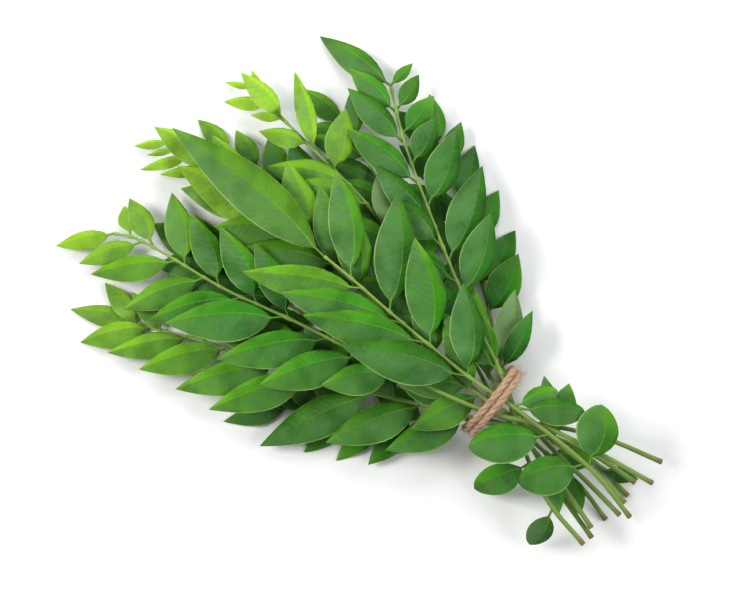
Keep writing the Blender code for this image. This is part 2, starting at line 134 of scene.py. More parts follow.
# %% The sprigs
SPRIGS = {
    "left_back": {
        "whole": True,
        "path": [
            (-67, -5), (-45, -7), (-19, 0), (2, 10), (23, 28), (42, 42), (62, 54),
        ],
        "leaflets": [
            (15, -157, 15, 7), (84, 36, 26, 11), (92, -38, 26, 11), (97, 50, 25, 11), (110, 52, 24, 10),
            (116, -38, 28, 12), (122, 48, 23, 9), (129, -38, 28, 12), (133, 44, 22, 9),
            (139, -34, 24, 10), (147, 22, 26, 9),
        ],
    },
    "inner_back": {
        "whole": True,
        "path": [
            (-65, -11), (-45, -9), (-20, -2), (3, 6), (30, 13), (62, 18), (95, 22), (130, 27),
        ],
        "leaflets": [
            (113, 42, 32, 13), (126, -42, 32, 14), (129, 42, 32, 14), (142, -42, 34, 15),
            (145, 42, 32, 14), (157, -40, 32, 14), (161, 40, 30, 14), (171, -38, 30, 13),
            (176, 38, 28, 13), (186, -30, 24, 11), (191, 40, 24, 11), (195, 4, 25, 12),
        ],
    },
    "mid_back": {
        "whole": True,
        "path": [
            (-66, 8), (-49, 4), (-24, 2), (2, 1), (50, -4), (96, -10), (130, -13), (145, -12),
        ],
        "leaflets": [
            (25, 154, 18, 9), (36, -150, 20, 10), (110, 46, 32, 15), (124, -46, 34, 15),
            (138, 45, 34, 15), (150, -40, 36, 15), (163, -31, 39, 17), (166, 36, 36, 16),
            (178, 40, 34, 15), (185, -35, 24, 12), (188, 34, 28, 12), (199, -24, 18, 9), (204, 30, 20, 9),
            (212, -14, 18, 8),
        ],
    },
    "right_back": {
        "whole": True,
        "path": [
            (-65, 17), (-40, 10), (-17, 1), (1, -10), (15, -21), (37, -38), (62, -55), (82, -67),
        ],
        "leaflets": [
            (77, -43, 26, 9), (79, -25, 30, 12), (100, -43, 26, 14), (112, -48, 25, 13),
            (121, 40, 28, 12), (130, -50, 23, 12), (138, 44, 28, 12), (148, -41, 22, 11),
            (154, 40, 26, 11), (162, -44, 18, 9), (168, 30, 24, 10), (171, -16, 20, 9),
        ],
    },
    "right_inner": {
        "whole": True,
        "path": [
            (-62, 14), (-38, 7), (-12, 2), (2, -2), (30, -15), (60, -29), (92, -41), (117, -50),
        ],
        "leaflets": [
            (30, 156, 20, 9), (92, 40, 30, 13), (104, -40, 28, 12), (116, 42, 30, 14), (128, -40, 28, 12),
            (138, 42, 30, 13), (150, 40, 28, 12), (162, 44, 26, 11), (174, 42, 24, 10), (182, -30, 20, 8),
            (184, 52, 20, 9), (193, 24, 22, 9),
        ],
    },
    "mid_right": {
        "whole": True,
        "path": [
            (-68, 3), (-50, 1), (-27, -1), (1, -6), (22, -11), (51, -19), (85, -29), (115, -33),
            (154, -37),
        ],
        "leaflets": [
            (76, -34, 26, 9), (86, -38, 28, 11), (100, -46, 30, 13), (112, 42, 34, 15),
            (126, -44, 30, 13), (138, 40, 34, 15), (148, -36, 27, 11), (160, 38, 32, 14),
            (170, 34, 34, 14), (179, -58, 25, 12), (190, -32, 33, 8), (194, 34, 20, 8), (206, -5, 27, 9),
            (208, 40, 13, 4), (216, 42, 18, 6), (220, -29, 12, 4), (226, 34, 11, 3),
        ],
    },
    "left_outer": {
        "whole": True,
        "path": [
            (-68, -24), (-44, -17), (-20, -5), (-2, 9), (12, 14), (28, 22), (52, 33), (78, 44), (103, 53),
            (122, 62), (131, 65),
        ],
        "leaflets": [
            (45, -98, 18, 11), (82, 51, 34, 13), (92, -40, 28, 13), (100, 36, 41, 15), (110, -42, 32, 14),
            (120, 41, 50, 16), (128, -42, 32, 14), (146, 38, 42, 14), (150, -42, 32, 14),
            (160, 33, 41, 14), (170, -42, 30, 13), (181, 35, 36, 13), (190, -42, 26, 11),
            (197, 29, 33, 11), (208, -42, 20, 8), (213, 34, 29, 11), (217, -32, 20, 9), (220, 13, 27, 9),
        ],
    },
    "mid_left": {
        "whole": True,
        "path": [
            (-66, -2), (-52, -4), (-23, -3), (3, 1), (27, 1), (59, -1), (103, -4), (142, -2), (166, 1),
        ],
        "leaflets": [
            (38, -50, 26, 11), (73, 66, 30, 13), (76, -34, 30, 11), (78, 36, 30, 11), (92, 38, 32, 13),
            (96, -42, 32, 13), (108, -42, 34, 15), (120, 40, 36, 16), (136, -40, 34, 14),
            (149, -40, 32, 13), (150, 38, 38, 16), (164, -38, 32, 14), (166, 36, 36, 15),
            (170, 13, 54, 18), (184, 26, 36, 15), (196, -30, 26, 11), (210, -7, 30, 11), (213, 46, 20, 5),
            (222, 50, 21, 5), (227, -30, 10, 3), (228, 46, 13, 3), (233, 40, 14, 4),
        ],
    },
    "right": {
        "whole": False,
        "path": [
            (-63, 21), (-40, 16), (-15, 3), (1, -9), (20, -18), (39, -27), (69, -44), (93, -59),
            (111, -73),
        ],
        "leaflets": [
            (76, 24, 34, 11), (102, 40, 30, 12), (110, -45, 35, 14), (116, 38, 28, 11),
            (125, -43, 41, 15), (131, 26, 27, 11), (140, 28, 34, 11), (148, -43, 33, 14),
            (158, 34, 36, 12), (166, -46, 21, 11), (175, 31, 32, 11), (179, -58, 20, 10),
            (188, 36, 26, 10), (189, -48, 17, 8), (197, -58, 13, 5), (199, 44, 35, 11),
        ],
    },
    "left_inner": {
        "whole": False,
        "path": [
            (-69, -15), (-46, -11), (-20, -5), (2, 5), (40, 15), (80, 24), (111, 32), (137, 36),
            (152, 39), (160, 43),
        ],
        "leaflets": [
            (110, 36, 31, 13), (127, 47, 42, 15), (138, -40, 34, 13), (141, 41, 45, 15),
            (158, -44, 33, 12), (160, 30, 48, 17), (172, -45, 34, 13), (179, 40, 38, 14),
            (189, -44, 31, 12), (196, 53, 35, 12), (205, -51, 30, 12), (209, 43, 35, 11),
            (220, -38, 22, 10), (225, 47, 27, 9), (230, -62, 13, 8), (236, 26, 24, 8),
        ],
    },
    "centre": {
        "whole": False,
        "path": [
            (-70, 1), (-45, -4), (-11, -4), (14, -2), (47, -2), (74, -3), (88, -3),
        ],
        "leaflets": [
            (85, -52, 37, 14), (85, 26, 52, 17), (104, -47, 43, 16), (106, 29, 50, 15), (118, 27, 50, 15),
            (125, -56, 47, 17), (139, 38, 48, 14), (145, -46, 43, 14), (158, -5, 79, 19),
        ],
    },
}

# Leaflets that lie on top near the cut ends, most of them broad and blunt: the name of the sprig, then
# the four values of a leaflet
BUTT_LEAFLETS = [("right", 39, 100, 24, 13), ("centre", 64, -128, 19, 9), ("centre", 63, -151, 28, 11),
                 ("centre", 28, 62, 27, 16), ("centre", 26, -61, 25, 17), ("centre", 46, 51, 32, 16),
                 ("right", 19, 121, 18, 10)]
in_rows = sum(len(sprig["leaflets"]) for sprig in SPRIGS.values())
print("sprigs:", len(SPRIGS), "leaflets:", in_rows + len(BUTT_LEAFLETS))

# %% [markdown]
# ## The pile
#
# A grid over the plan remembers the height of everything laid so far. A thing that is laid on it can't
# follow each dip, because a stem or a leaf is springy. `sag_over` gives the lowest line that clears the
# heights below and bends no tighter than a given radius: it drops a parabola from each high point and
# keeps whichever is highest.

# %% The pile and the sagging rule
def turn(x, y, degrees):
    """The vector (x, y) turned to the left."""
    angle = math.radians(degrees)
    return (x * math.cos(angle) - y * math.sin(angle), x * math.sin(angle) + y * math.cos(angle))


class Pile:
    """The height of everything laid down so far, on a fine square grid."""

    def __init__(self):
        columns = int((PLAN_HIGH[0] - PLAN_LOW[0]) / CELL) + 1
        rows = int((PLAN_HIGH[1] - PLAN_LOW[1]) / CELL) + 1
        self.top = np.zeros((columns, rows))

    def cells(self, x, y):
        """The column and row of each point."""
        i = np.rint((np.asarray(x) - PLAN_LOW[0]) / CELL).astype(int)
        j = np.rint((np.asarray(y) - PLAN_LOW[1]) / CELL).astype(int)
        return np.clip(i, 1, self.top.shape[0] - 2), np.clip(j, 1, self.top.shape[1] - 2)

    def height(self, x, y):
        """The height of the pile at these points."""
        return self.top[self.cells(x, y)]

    def cover(self, x, y, z):
        """Raise the pile to z at these points and in the cells next to them."""
        i, j = self.cells(x, y)
        for di in (-1, 0, 1):
            for dj in (-1, 0, 1):
                np.maximum.at(self.top, (i + di, j + dj), z)


def sag_over(distance, need, bend):
    """The lowest line over the heights in need whose sag is no tighter than the radius bend."""
    apart = distance[:, None] - distance[None, :]
    return (need[None, :] - apart ** 2 / (2 * bend)).max(axis=1)


print("cells of the pile's grid:", Pile().top.shape)

# %% [markdown]
# Curve objects could carry the stems, but their heights come from the pile at many points, and arrays of
# numbers are quicker for that. `Path` puts a smooth curve through a few plan points and measures it by
# distance. `Stem` lays a stem along a path: it looks at the pile below a band around the path, sags over
# it, and then raises the pile itself.

# %% Paths and stems
class Path:
    """A smooth plan curve through a few points, measured by distance from its start."""

    def __init__(self, points):
        ends = [np.array(p, float) for p in points]
        ends = [2 * ends[0] - ends[1]] + ends + [2 * ends[-1] - ends[-2]]
        steps = np.linspace(0, 1, PATH_STEPS, endpoint=False)[:, None]
        runs = []
        for a, b, c, d in zip(ends, ends[1:], ends[2:], ends[3:]):
            runs.append(0.5 * (2 * b + (c - a) * steps + (2 * a - 5 * b + 4 * c - d) * steps ** 2
                               + (3 * b - 3 * c + d - a) * steps ** 3))
        self.points = np.vstack(runs + [ends[-2][None, :]])
        lengths = np.hypot(*np.diff(self.points, axis=0).T)
        self.distance = np.concatenate([[0], np.cumsum(lengths)])
        self.length = self.distance[-1]

    def at(self, distance):
        """The point of the path at a distance."""
        x = np.interp(distance, self.distance, self.points[:, 0])
        y = np.interp(distance, self.distance, self.points[:, 1])
        return x, y

    def along(self, distance):
        """The unit direction of the path at a distance."""
        distance = np.clip(distance, 0, self.length)
        x0, y0 = self.at(np.maximum(distance - 1.0, 0))
        x1, y1 = self.at(np.minimum(distance + 1.0, self.length))
        size = np.hypot(x1 - x0, y1 - y0)
        return (x1 - x0) / size, (y1 - y0) / size


class Stem:
    """One stem laid over the pile: its plan path, and its height and radius at each distance."""

    def __init__(self, pile, points):
        self.path = Path(points)
        self.distance = np.linspace(0, self.path.length, int(self.path.length) + 1)
        x, y = self.path.at(self.distance)
        dx, dy = self.path.along(self.distance)
        sides = np.arange(-STEM_BAND, STEM_BAND + CELL, CELL)[None, :]
        below = pile.height(x[:, None] - dy[:, None] * sides, y[:, None] + dx[:, None] * sides)
        self.radius = np.interp(self.distance, [0, self.path.length], [STEM_BUTT_RADIUS, STEM_TIP_RADIUS])
        need = below.max(axis=1) + self.radius + np.where(below.max(axis=1) > 0, GAP, 0.0)
        self.height = sag_over(self.distance, need, STEM_BEND)

    def place(self, distance):
        """Position, direction, height and radius at a distance along the stem."""
        x, y = self.path.at(distance)
        dx, dy = self.path.along(distance)
        height = np.interp(distance, self.distance, self.height)
        return x, y, dx, dy, height, np.interp(distance, self.distance, self.radius)

    def cover(self, pile):
        """Raise the pile over this stem."""
        x, y, dx, dy, height, radius = self.place(self.distance)
        wider, taller = STEM_MARGIN
        for side in np.linspace(-wider, wider, STEM_LINES):
            pile.cover(x - dy * radius * side, y + dx * radius * side, height + radius * taller)


first_path = Path(next(iter(SPRIGS.values()))["path"])
print("length of the lowest stem:", round(first_path.length, 1), "mm")

# %% [markdown]
# ## How a leaflet lies
#
# A blade is described by a share `t` along its length and a place `s` across it, from -1 at one margin
# to 1 at the other. `half` gives the outline, `plan` the place from above, `rise` the fold along the
# midrib, and `level` the height of the midrib. The heights are set at six stations, as in the solid
# model, and the fine blade rounds off the corners there.

# %% The leaflet rule
class Leaflet:
    """One leaflet: a folded blade that starts at its stem and sags onto the pile."""

    def __init__(self, pile, stem, leaflet, outline, rng, joined):
        at, angle, length, width = leaflet
        x, y, dx, dy, height, radius = stem.place(at)
        side = math.copysign(1, angle)
        self.half_width = width / 2
        self.outline = outline
        self.fold = rng.uniform(*FOLD)
        self.roll = rng.uniform(*ROLL)
        self.hook = rng.uniform(*HOOK) * -side
        self.fall = rng.uniform(*FALL)
        self.bearing = turn(dx, dy, angle)
        if joined:
            clear = radius * JOIN_DEPTH
        else:
            clear = radius + GAP + STALK_HALF_WIDTH
        if at >= stem.path.length - END_LEAFLET:
            x, y = stem.path.at(stem.path.length)
            reach = clear - radius
        else:
            reach = clear / abs(math.sin(math.radians(angle)))
        self.reach = max(reach, 0)
        self.base = (x + self.bearing[0] * reach, y + self.bearing[1] * reach)
        self.length = length - reach
        self.base_height = height - LEAF_THICK / 2
        self.settle(pile)

    def plan(self, t, s):
        """Plan position at a share t of the length, and s from one margin (-1) to the other (1)."""
        along = self.length * t
        aside = self.length * self.hook * t ** 2 + self.half(t) * s
        return (self.base[0] + self.bearing[0] * along - self.bearing[1] * aside,
                self.base[1] + self.bearing[1] * along + self.bearing[0] * aside)

    def half(self, t):
        """Half the width at a share of the length."""
        stalk, widest, fullness = self.outline
        along_blade = np.clip((t - stalk) / (1 - stalk), 0, 1)
        blade = np.abs(np.sin(np.pi * along_blade ** widest)) ** fullness
        return np.maximum(self.half_width * blade, STALK_HALF_WIDTH * (1 - t))

    def rise(self, t, s):
        """How far a point of the blade stands above the midrib beside it."""
        return self.half(t) * (self.fold * np.abs(s) + self.roll * s)

    def settle(self, pile):
        """Set the height of the midrib at each station, so that the whole blade clears the pile."""
        t = np.linspace(0, 1, PROBES_ALONG)
        t_grid, s_grid = np.meshgrid(t, np.linspace(-1, 1, PROBES_ACROSS), indexing="ij")
        below = pile.height(*self.plan(t_grid, s_grid))
        need = (below + np.where(below > 0, GAP, 0.0) - self.rise(t_grid, s_grid)).max(axis=1)
        free = t * self.length < STALK_FREE
        need[free] = need[~free][0]
        rest = sag_over(self.length * t, need, LEAF_BEND)
        above = np.maximum(self.base_height - rest, 0)
        wanted = rest + above * (1 - self.fall * t ** FALL_POWER)
        stations = np.array(LEAF_STATIONS)
        self.heights = np.interp(stations, t, wanted)
        self.heights[0] = self.base_height
        first = (t > stations[1] * 0.3) & (t <= stations[1])
        lift = self.base_height + (need[first] - self.base_height) * stations[1] / t[first]
        self.heights[1] = max(self.heights[1], lift.max())
        for k in range(1, len(stations) - 1):
            inside = (t >= stations[k]) & (t <= stations[k + 1])
            short = (rest[inside] - self.level(t[inside])).max()
            self.heights[k:k + 2] += max(short, 0)

    def level(self, t):
        """Height of the midrib's underside at a share of the length."""
        return np.interp(t, LEAF_STATIONS, self.heights)

    def cover(self, pile):
        """Raise the pile over this leaflet."""
        t = np.linspace(0, 1, int(self.length / COVER_ALONG) + 2)
        s = np.linspace(-1, 1, int(self.half_width / COVER_ACROSS) + 3)
        t_grid, s_grid = np.meshgrid(t, s, indexing="ij")
        x, y = self.plan(t_grid, s_grid)
        pile.cover(x, y, self.level(t_grid) + self.rise(t_grid, s_grid) + LEAF_THICK)


print("stations of a leaflet:", len(LEAF_STATIONS), "places measured:", PROBES_ALONG * PROBES_ACROSS)

# %% [markdown]
# The bottom sprig goes down first. On each sprig the leaflets go down from the tip back, so that each one
# lies over the next one towards the tip. The outline of the tie is taken before the last, broad leaflets
# near the cut ends go down, because they lie over the bundle and outside the tie.

# %% Lay the bunch
def lay_tie_under(pile):
    """Keep the space that the twine takes below the stems."""
    x, y = np.meshgrid(np.arange(-TWINE_PITCH / 2 - TWINE_RADIUS, TWINE_PITCH / 2 + TWINE_RADIUS, CELL),
                       np.arange(-TIE_HALF_WIDTH, TIE_HALF_WIDTH, CELL))
    pile.cover(x, y, np.full(x.shape, 2 * TWINE_RADIUS))


def lay_sprig(pile, sprig, rng):
    """Lay one sprig: its stem, then its leaflets from the tip back."""
    stem = Stem(pile, sprig["path"])
    stem.cover(pile)
    blades = []
    for leaflet in sorted(sprig["leaflets"], reverse=True):
        blade = Leaflet(pile, stem, leaflet, LANCE, rng, sprig["whole"])
        blade.cover(pile)
        blades.append(blade)
    return stem, blades


def tie_outline(pile):
    """The closed line that one tight turn follows across the bundle, as (y, z) points."""
    x = np.arange(-TWINE_PITCH, TWINE_PITCH + CELL, CELL)[:, None]
    y = np.arange(-TIE_HALF_WIDTH - 1, TIE_HALF_WIDTH + 1, CELL)
    tops = pile.height(x, y[None, :]).max(axis=0)
    floor = 2 * TWINE_RADIUS + GAP
    around = []
    for across, top in zip(y, tops):
        if top > floor + STEM_TIP_RADIUS:
            for height in (floor, top):
                for step in range(TIE_CORNERS):
                    angle = 2 * math.pi * step / TIE_CORNERS
                    spread = TWINE_RADIUS + GAP
                    around.append((across + spread * math.cos(angle), height + spread * math.sin(angle)))
    corners = [around[k] for k in geometry.convex_hull_2d(around)]
    return np.array(corners + corners[:1])


rng = np.random.default_rng(SEED)
pile = Pile()
lay_tie_under(pile)
laid = {name: lay_sprig(pile, sprig, rng) for name, sprig in SPRIGS.items()}
outline = tie_outline(pile)
for name, *leaflet in BUTT_LEAFLETS:
    stem, blades = laid[name]
    blades.append(Leaflet(pile, stem, leaflet, ROUND, rng, SPRIGS[name]["whole"]))
    blades[-1].cover(pile)
print("pile height:", round(pile.top.max(), 1), "mm")

# %% [markdown]
# The plan is measured from the middle of the tie, and the solid model from the middle of its own box.
# One blade is enough to find the shift between them: its box in the solid model against its box here.
# A second blade then shows whether the two agree.

# %% Find the place of the tie in the solid model
def blade_box(blade):
    """The lowest and highest corner of a blade's stations, in metres."""
    t, s = np.meshgrid(LEAF_STATIONS, (-1.0, 0.0, 1.0), indexing="ij")
    x, y = blade.plan(t, np.where(t < 1, s, 0))
    z = blade.level(t) + blade.rise(t, np.where(t < 1, s, 0))
    return np.array([x.min(), y.min(), z.min()]) * MM, np.array([x.max(), y.max(), z.max()]) * MM


SHIFT = np.array(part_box("leaflet_centre_01")[0]) - blade_box(laid["centre"][1][0])[0]
other = np.array(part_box("leaflet_right_04")[0]) - blade_box(laid["right"][1][3])[0]
print("shift in mm:", np.round(SHIFT / MM, 3))
print("disagreement in mm:", np.round(np.abs(SHIFT - other).max() / MM, 4))


def world(x, y, z):
    """Points of the plan, in millimetres, as an array of places in metres."""
    return np.stack([np.broadcast_to(v, np.shape(x)) for v in (x, y, z)], axis=-1) * MM + SHIFT

# %% [markdown]
# ## Camera, floor and light
#
# The camera looks straight down on the bunch, which lies with its cut ends to the lower right. A long
# lens from a metre away keeps the leaves at the edge of the frame as flat as those in the middle.

# %% Camera
BUNCH_TURN = 141.0         # where the leaf tips point in the frame, in degrees from its right edge
VIEW_CENTRE = (62.5, -1.6)  # the middle of the frame, in the plan
VIEW_WIDTH = 296.3         # width of what the frame shows at LEAF_LEVEL
VIEW_HEIGHT = 1100.0
LEAF_LEVEL = 14.0          # the height at which that width is measured
SENSOR_WIDTH = 36.0


def add_object(name, data):
    """Put a mesh, a light or a camera in the scene as an object."""
    item = bpy.data.objects.new(name, data)
    bpy.context.scene.collection.objects.link(item)
    return item


camera = add_object("camera", bpy.data.cameras.new("camera"))
camera.location = world(*VIEW_CENTRE, VIEW_HEIGHT)
camera.rotation_euler = (0, 0, -math.radians(BUNCH_TURN))
camera.data.sensor_width = SENSOR_WIDTH
camera.data.lens = SENSOR_WIDTH * (VIEW_HEIGHT - LEAF_LEVEL) / VIEW_WIDTH
camera.data.clip_start = 0.01
bpy.context.scene.camera = camera
bpy.context.scene.view_settings.view_transform = "Standard"
print("lens:", round(camera.data.lens, 1), "mm")

# %% [markdown]
# One soft light comes from beyond the leaf tips. Two wider and weaker ones stand on other sides and put
# a sheen on the blades that lean towards them. The pale floor and a dim sky fill the shadows.

# %% Floor and lights
FLOOR_SIZE = 4.0
FLOOR_DROP = 0.0002        # how far the floor lies below the plane that the solid model rests on
SKY_COLOUR = (0.96, 0.98, 1.0, 1.0)
SKY_STRENGTH = 0.20


def add_light(name, place, size, watts, colour):
    """A square soft light in metres that faces the middle of the bunch."""
    lamp = bpy.data.lights.new(name, "AREA")
    lamp.shape = "SQUARE"
    lamp.size = size
    lamp.energy = watts
    lamp.color = colour
    light = add_object(name, lamp)
    light.location = place
    light.rotation_euler = Vector(place).to_track_quat("Z", "Y").to_euler()


add_light("key_light", (1.18, 0.55, 1.25), 0.70, 26.0, (1.0, 0.99, 0.96))
add_light("sheen_light_right", (-0.89, -0.72, 0.95), 1.00, 12.0, (0.97, 0.99, 1.0))
add_light("sheen_light_far", (0.72, -0.89, 0.95), 1.00, 12.0, (0.97, 0.99, 1.0))

sky = bpy.data.worlds.new("studio")
sky.use_nodes = True
sky.node_tree.nodes["Background"].inputs["Color"].default_value = SKY_COLOUR
sky.node_tree.nodes["Background"].inputs["Strength"].default_value = SKY_STRENGTH
bpy.context.scene.world = sky

bpy.ops.mesh.primitive_plane_add(size=FLOOR_SIZE, location=(0, 0, -FLOOR_DROP))
floor = bpy.context.object
floor.name = "floor"

# %% [markdown]
# ## Writing finishes
#
# A finish is a tree of shader nodes. Wiring them one by one is long and hard to read, so `Value` wraps a
# node's socket: an expression such as `1 - mask * 0.4` adds its Math nodes.

# %% Numbers that vary over a surface
class Value:
    """A number that varies over a surface: one output socket of a node tree."""

    def __init__(self, tree, socket):
        self.tree = tree
        self.socket = socket

    def maths(self, operation, *items):
        """The result of one Math node."""
        node = self.tree.nodes.new("ShaderNodeMath")
        node.operation = operation
        for slot, item in zip(node.inputs, items):
            plug(self.tree, slot, item)
        return Value(self.tree, node.outputs[0])

    def __add__(self, other):
        return self.maths("ADD", self, other)

    def __sub__(self, other):
        return self.maths("SUBTRACT", self, other)

    def __rsub__(self, other):
        return self.maths("SUBTRACT", other, self)

    def __mul__(self, other):
        return self.maths("MULTIPLY", self, other)

    def __truediv__(self, other):
        return self.maths("DIVIDE", self, other)

    def __pow__(self, other):
        return self.maths("POWER", self, other)

    def __abs__(self):
        return self.maths("ABSOLUTE", self)

    __radd__ = __add__
    __rmul__ = __mul__

    def within(self):
        """The value held between 0 and 1."""
        return self.maths("MAXIMUM", self.maths("MINIMUM", self, 1.0), 0.0)

    def to_line(self):
        """Distance to the nearest whole number, from 0 to 0.5."""
        return self.maths("PINGPONG", self, 0.5)


def plug(tree, slot, item):
    """Give an input socket a number, a colour or a link."""
    if isinstance(item, Value):
        tree.links.new(item.socket, slot)
    elif isinstance(item, bpy.types.NodeSocket):
        tree.links.new(item, slot)
    elif slot.type == "RGBA":
        slot.default_value = (*item, 1.0)
    else:
        slot.default_value = item

# %% [markdown]
# `Finish` owns one material and starts from its Principled shader. What is the same all over the surface
# is set when it is made. What changes over the surface goes through `colour`, `roughness` and `bump`. The
# other methods make nodes for patterns.

# %% A finish
class Finish:
    """One material, built around a Principled shader."""

    def __init__(self, name, **constants):
        self.material = bpy.data.materials.new(name)
        self.material.use_nodes = True
        self.tree = self.material.node_tree
        self.shader = self.tree.nodes["Principled BSDF"]
        for socket, value in constants.items():
            plug(self.tree, self.shader.inputs[socket.replace("_", " ")], value)

    def make(self, kind, settings=None, output=0, **inputs):
        """Any node: its settings first, then the values or links of its sockets."""
        node = self.tree.nodes.new("ShaderNode" + kind)
        for name, value in (settings or {}).items():
            setattr(node, name, value)
        for name, item in inputs.items():
            plug(self.tree, node.inputs[name.replace("_", " ")], item)
        return Value(self.tree, node.outputs[output])

    def attribute(self, name):
        """A number stored on the mesh."""
        return self.make("Attribute", {"attribute_name": name}, output="Fac")

    def place(self):
        """The point of the surface, in the object's own space."""
        return self.make("TexCoord", output="Object")

    def noise(self, scale, detail=2.0, vector=None):
        """Soft random patches, about 0.5 on average."""
        return self.make("TexNoise", Vector=vector or self.place(), Scale=scale, Detail=detail)

    def lengthwise(self, along, fineness):
        """A vector for a pattern that runs along a swept line and stays even around its section."""
        ring = self.make("Attribute", {"attribute_name": "ring"}, output="Vector")
        parts = self.tree.nodes.new("ShaderNodeSeparateXYZ")
        plug(self.tree, parts.inputs[0], ring)
        y, z = (Value(self.tree, parts.outputs[k]) * fineness for k in (0, 1))
        return self.make("CombineXYZ", X=along, Y=y, Z=z)

    def mix(self, share, low, high):
        """One colour to another as share goes from 0 to 1."""
        node = self.tree.nodes.new("ShaderNodeMix")
        node.data_type = "RGBA"
        # Inputs 0, 6 and 7 are the factor and the two colours. Output 2 is the mixed colour.
        for slot, item in ((0, share), (6, low), (7, high)):
            plug(self.tree, node.inputs[slot], item)
        return Value(self.tree, node.outputs[2])

    def colour(self, item):
        """Set the colour of the surface."""
        plug(self.tree, self.shader.inputs["Base Color"], item)

    def roughness(self, item):
        """Set how matt the surface is."""
        plug(self.tree, self.shader.inputs["Roughness"], item)

    def bump(self, height, depth):
        """Relief: a height, and the length in metres that a height of 1 stands for."""
        node = self.tree.nodes.new("ShaderNodeBump")
        node.inputs["Distance"].default_value = depth
        plug(self.tree, node.inputs["Height"], height)
        self.tree.links.new(node.outputs["Normal"], self.shader.inputs["Normal"])

# %% [markdown]
# ## Finish: leaf blade
#
# A curry leaf is deep green and waxy above, paler and duller below. The midrib is a pale line, and from
# it faint side veins run out and curve forward. Between the veins the blade is slightly quilted. The
# margin is a hair-thin pale line, the blade holds tiny oil glands, and young leaves are yellow-green.
# The veins follow each blade's own length and width, so they are drawn from numbers stored on the mesh:
# `along` and `across` in millimetres, `share` of the length, `edge` from 0 at the midrib to 1 at the
# margin, `upper` for the face, `age`, `tint`, and `bloom`, which is high on the half of a blade
# that is painted a greyish green in place of the light it reflects. One tree serves every blade.

# %% Greens and veins of a leaf
DEEP_GREEN = (0.004, 0.086, 0.001)
FRESH_GREEN = (0.018, 0.238, 0.002)
YOUNG_GREEN = (0.400, 0.710, 0.022)
BLUE_GREEN = (0.008, 0.072, 0.010)
# Painted sheen: the greyish green that stands in for light reflected off one half of a blade
PAINTED_SHEEN_GREEN = (0.078, 0.188, 0.060)
# Random darker patches, and painted shade near the base of each blade
PATCH_AND_SHADE_GREEN = (0.002, 0.058, 0.001)
UNDER_GREEN = (0.190, 0.330, 0.120)
RIB_GREEN = (0.260, 0.430, 0.100)
VEIN_GREEN = (0.110, 0.300, 0.035)
DARK_GLAND = (0.012, 0.060, 0.006)
EDGE_GREEN = (0.360, 0.560, 0.150)
UNDER_VEIN = (0.130, 0.230, 0.075)
UNDER_YOUNG = (0.330, 0.520, 0.120)
VEIN_PITCH = 2.7           # distance between side veins along the midrib, in millimetres
VEIN_SLANT = 0.62          # how far a side vein runs forward for each millimetre that it runs out
VEIN_CURVE = 0.035         # how soon it curves further forward
NET_SCALE = 950.0          # fine net between the side veins, in cells per metre
GLAND_SCALE = 1500.0       # oil glands, the same way
FOLD_SLOPE = 0.42          # how much steeper the fold looks than the blade's own shape
print("side veins along 50 mm of midrib:", int(50 / VEIN_PITCH))
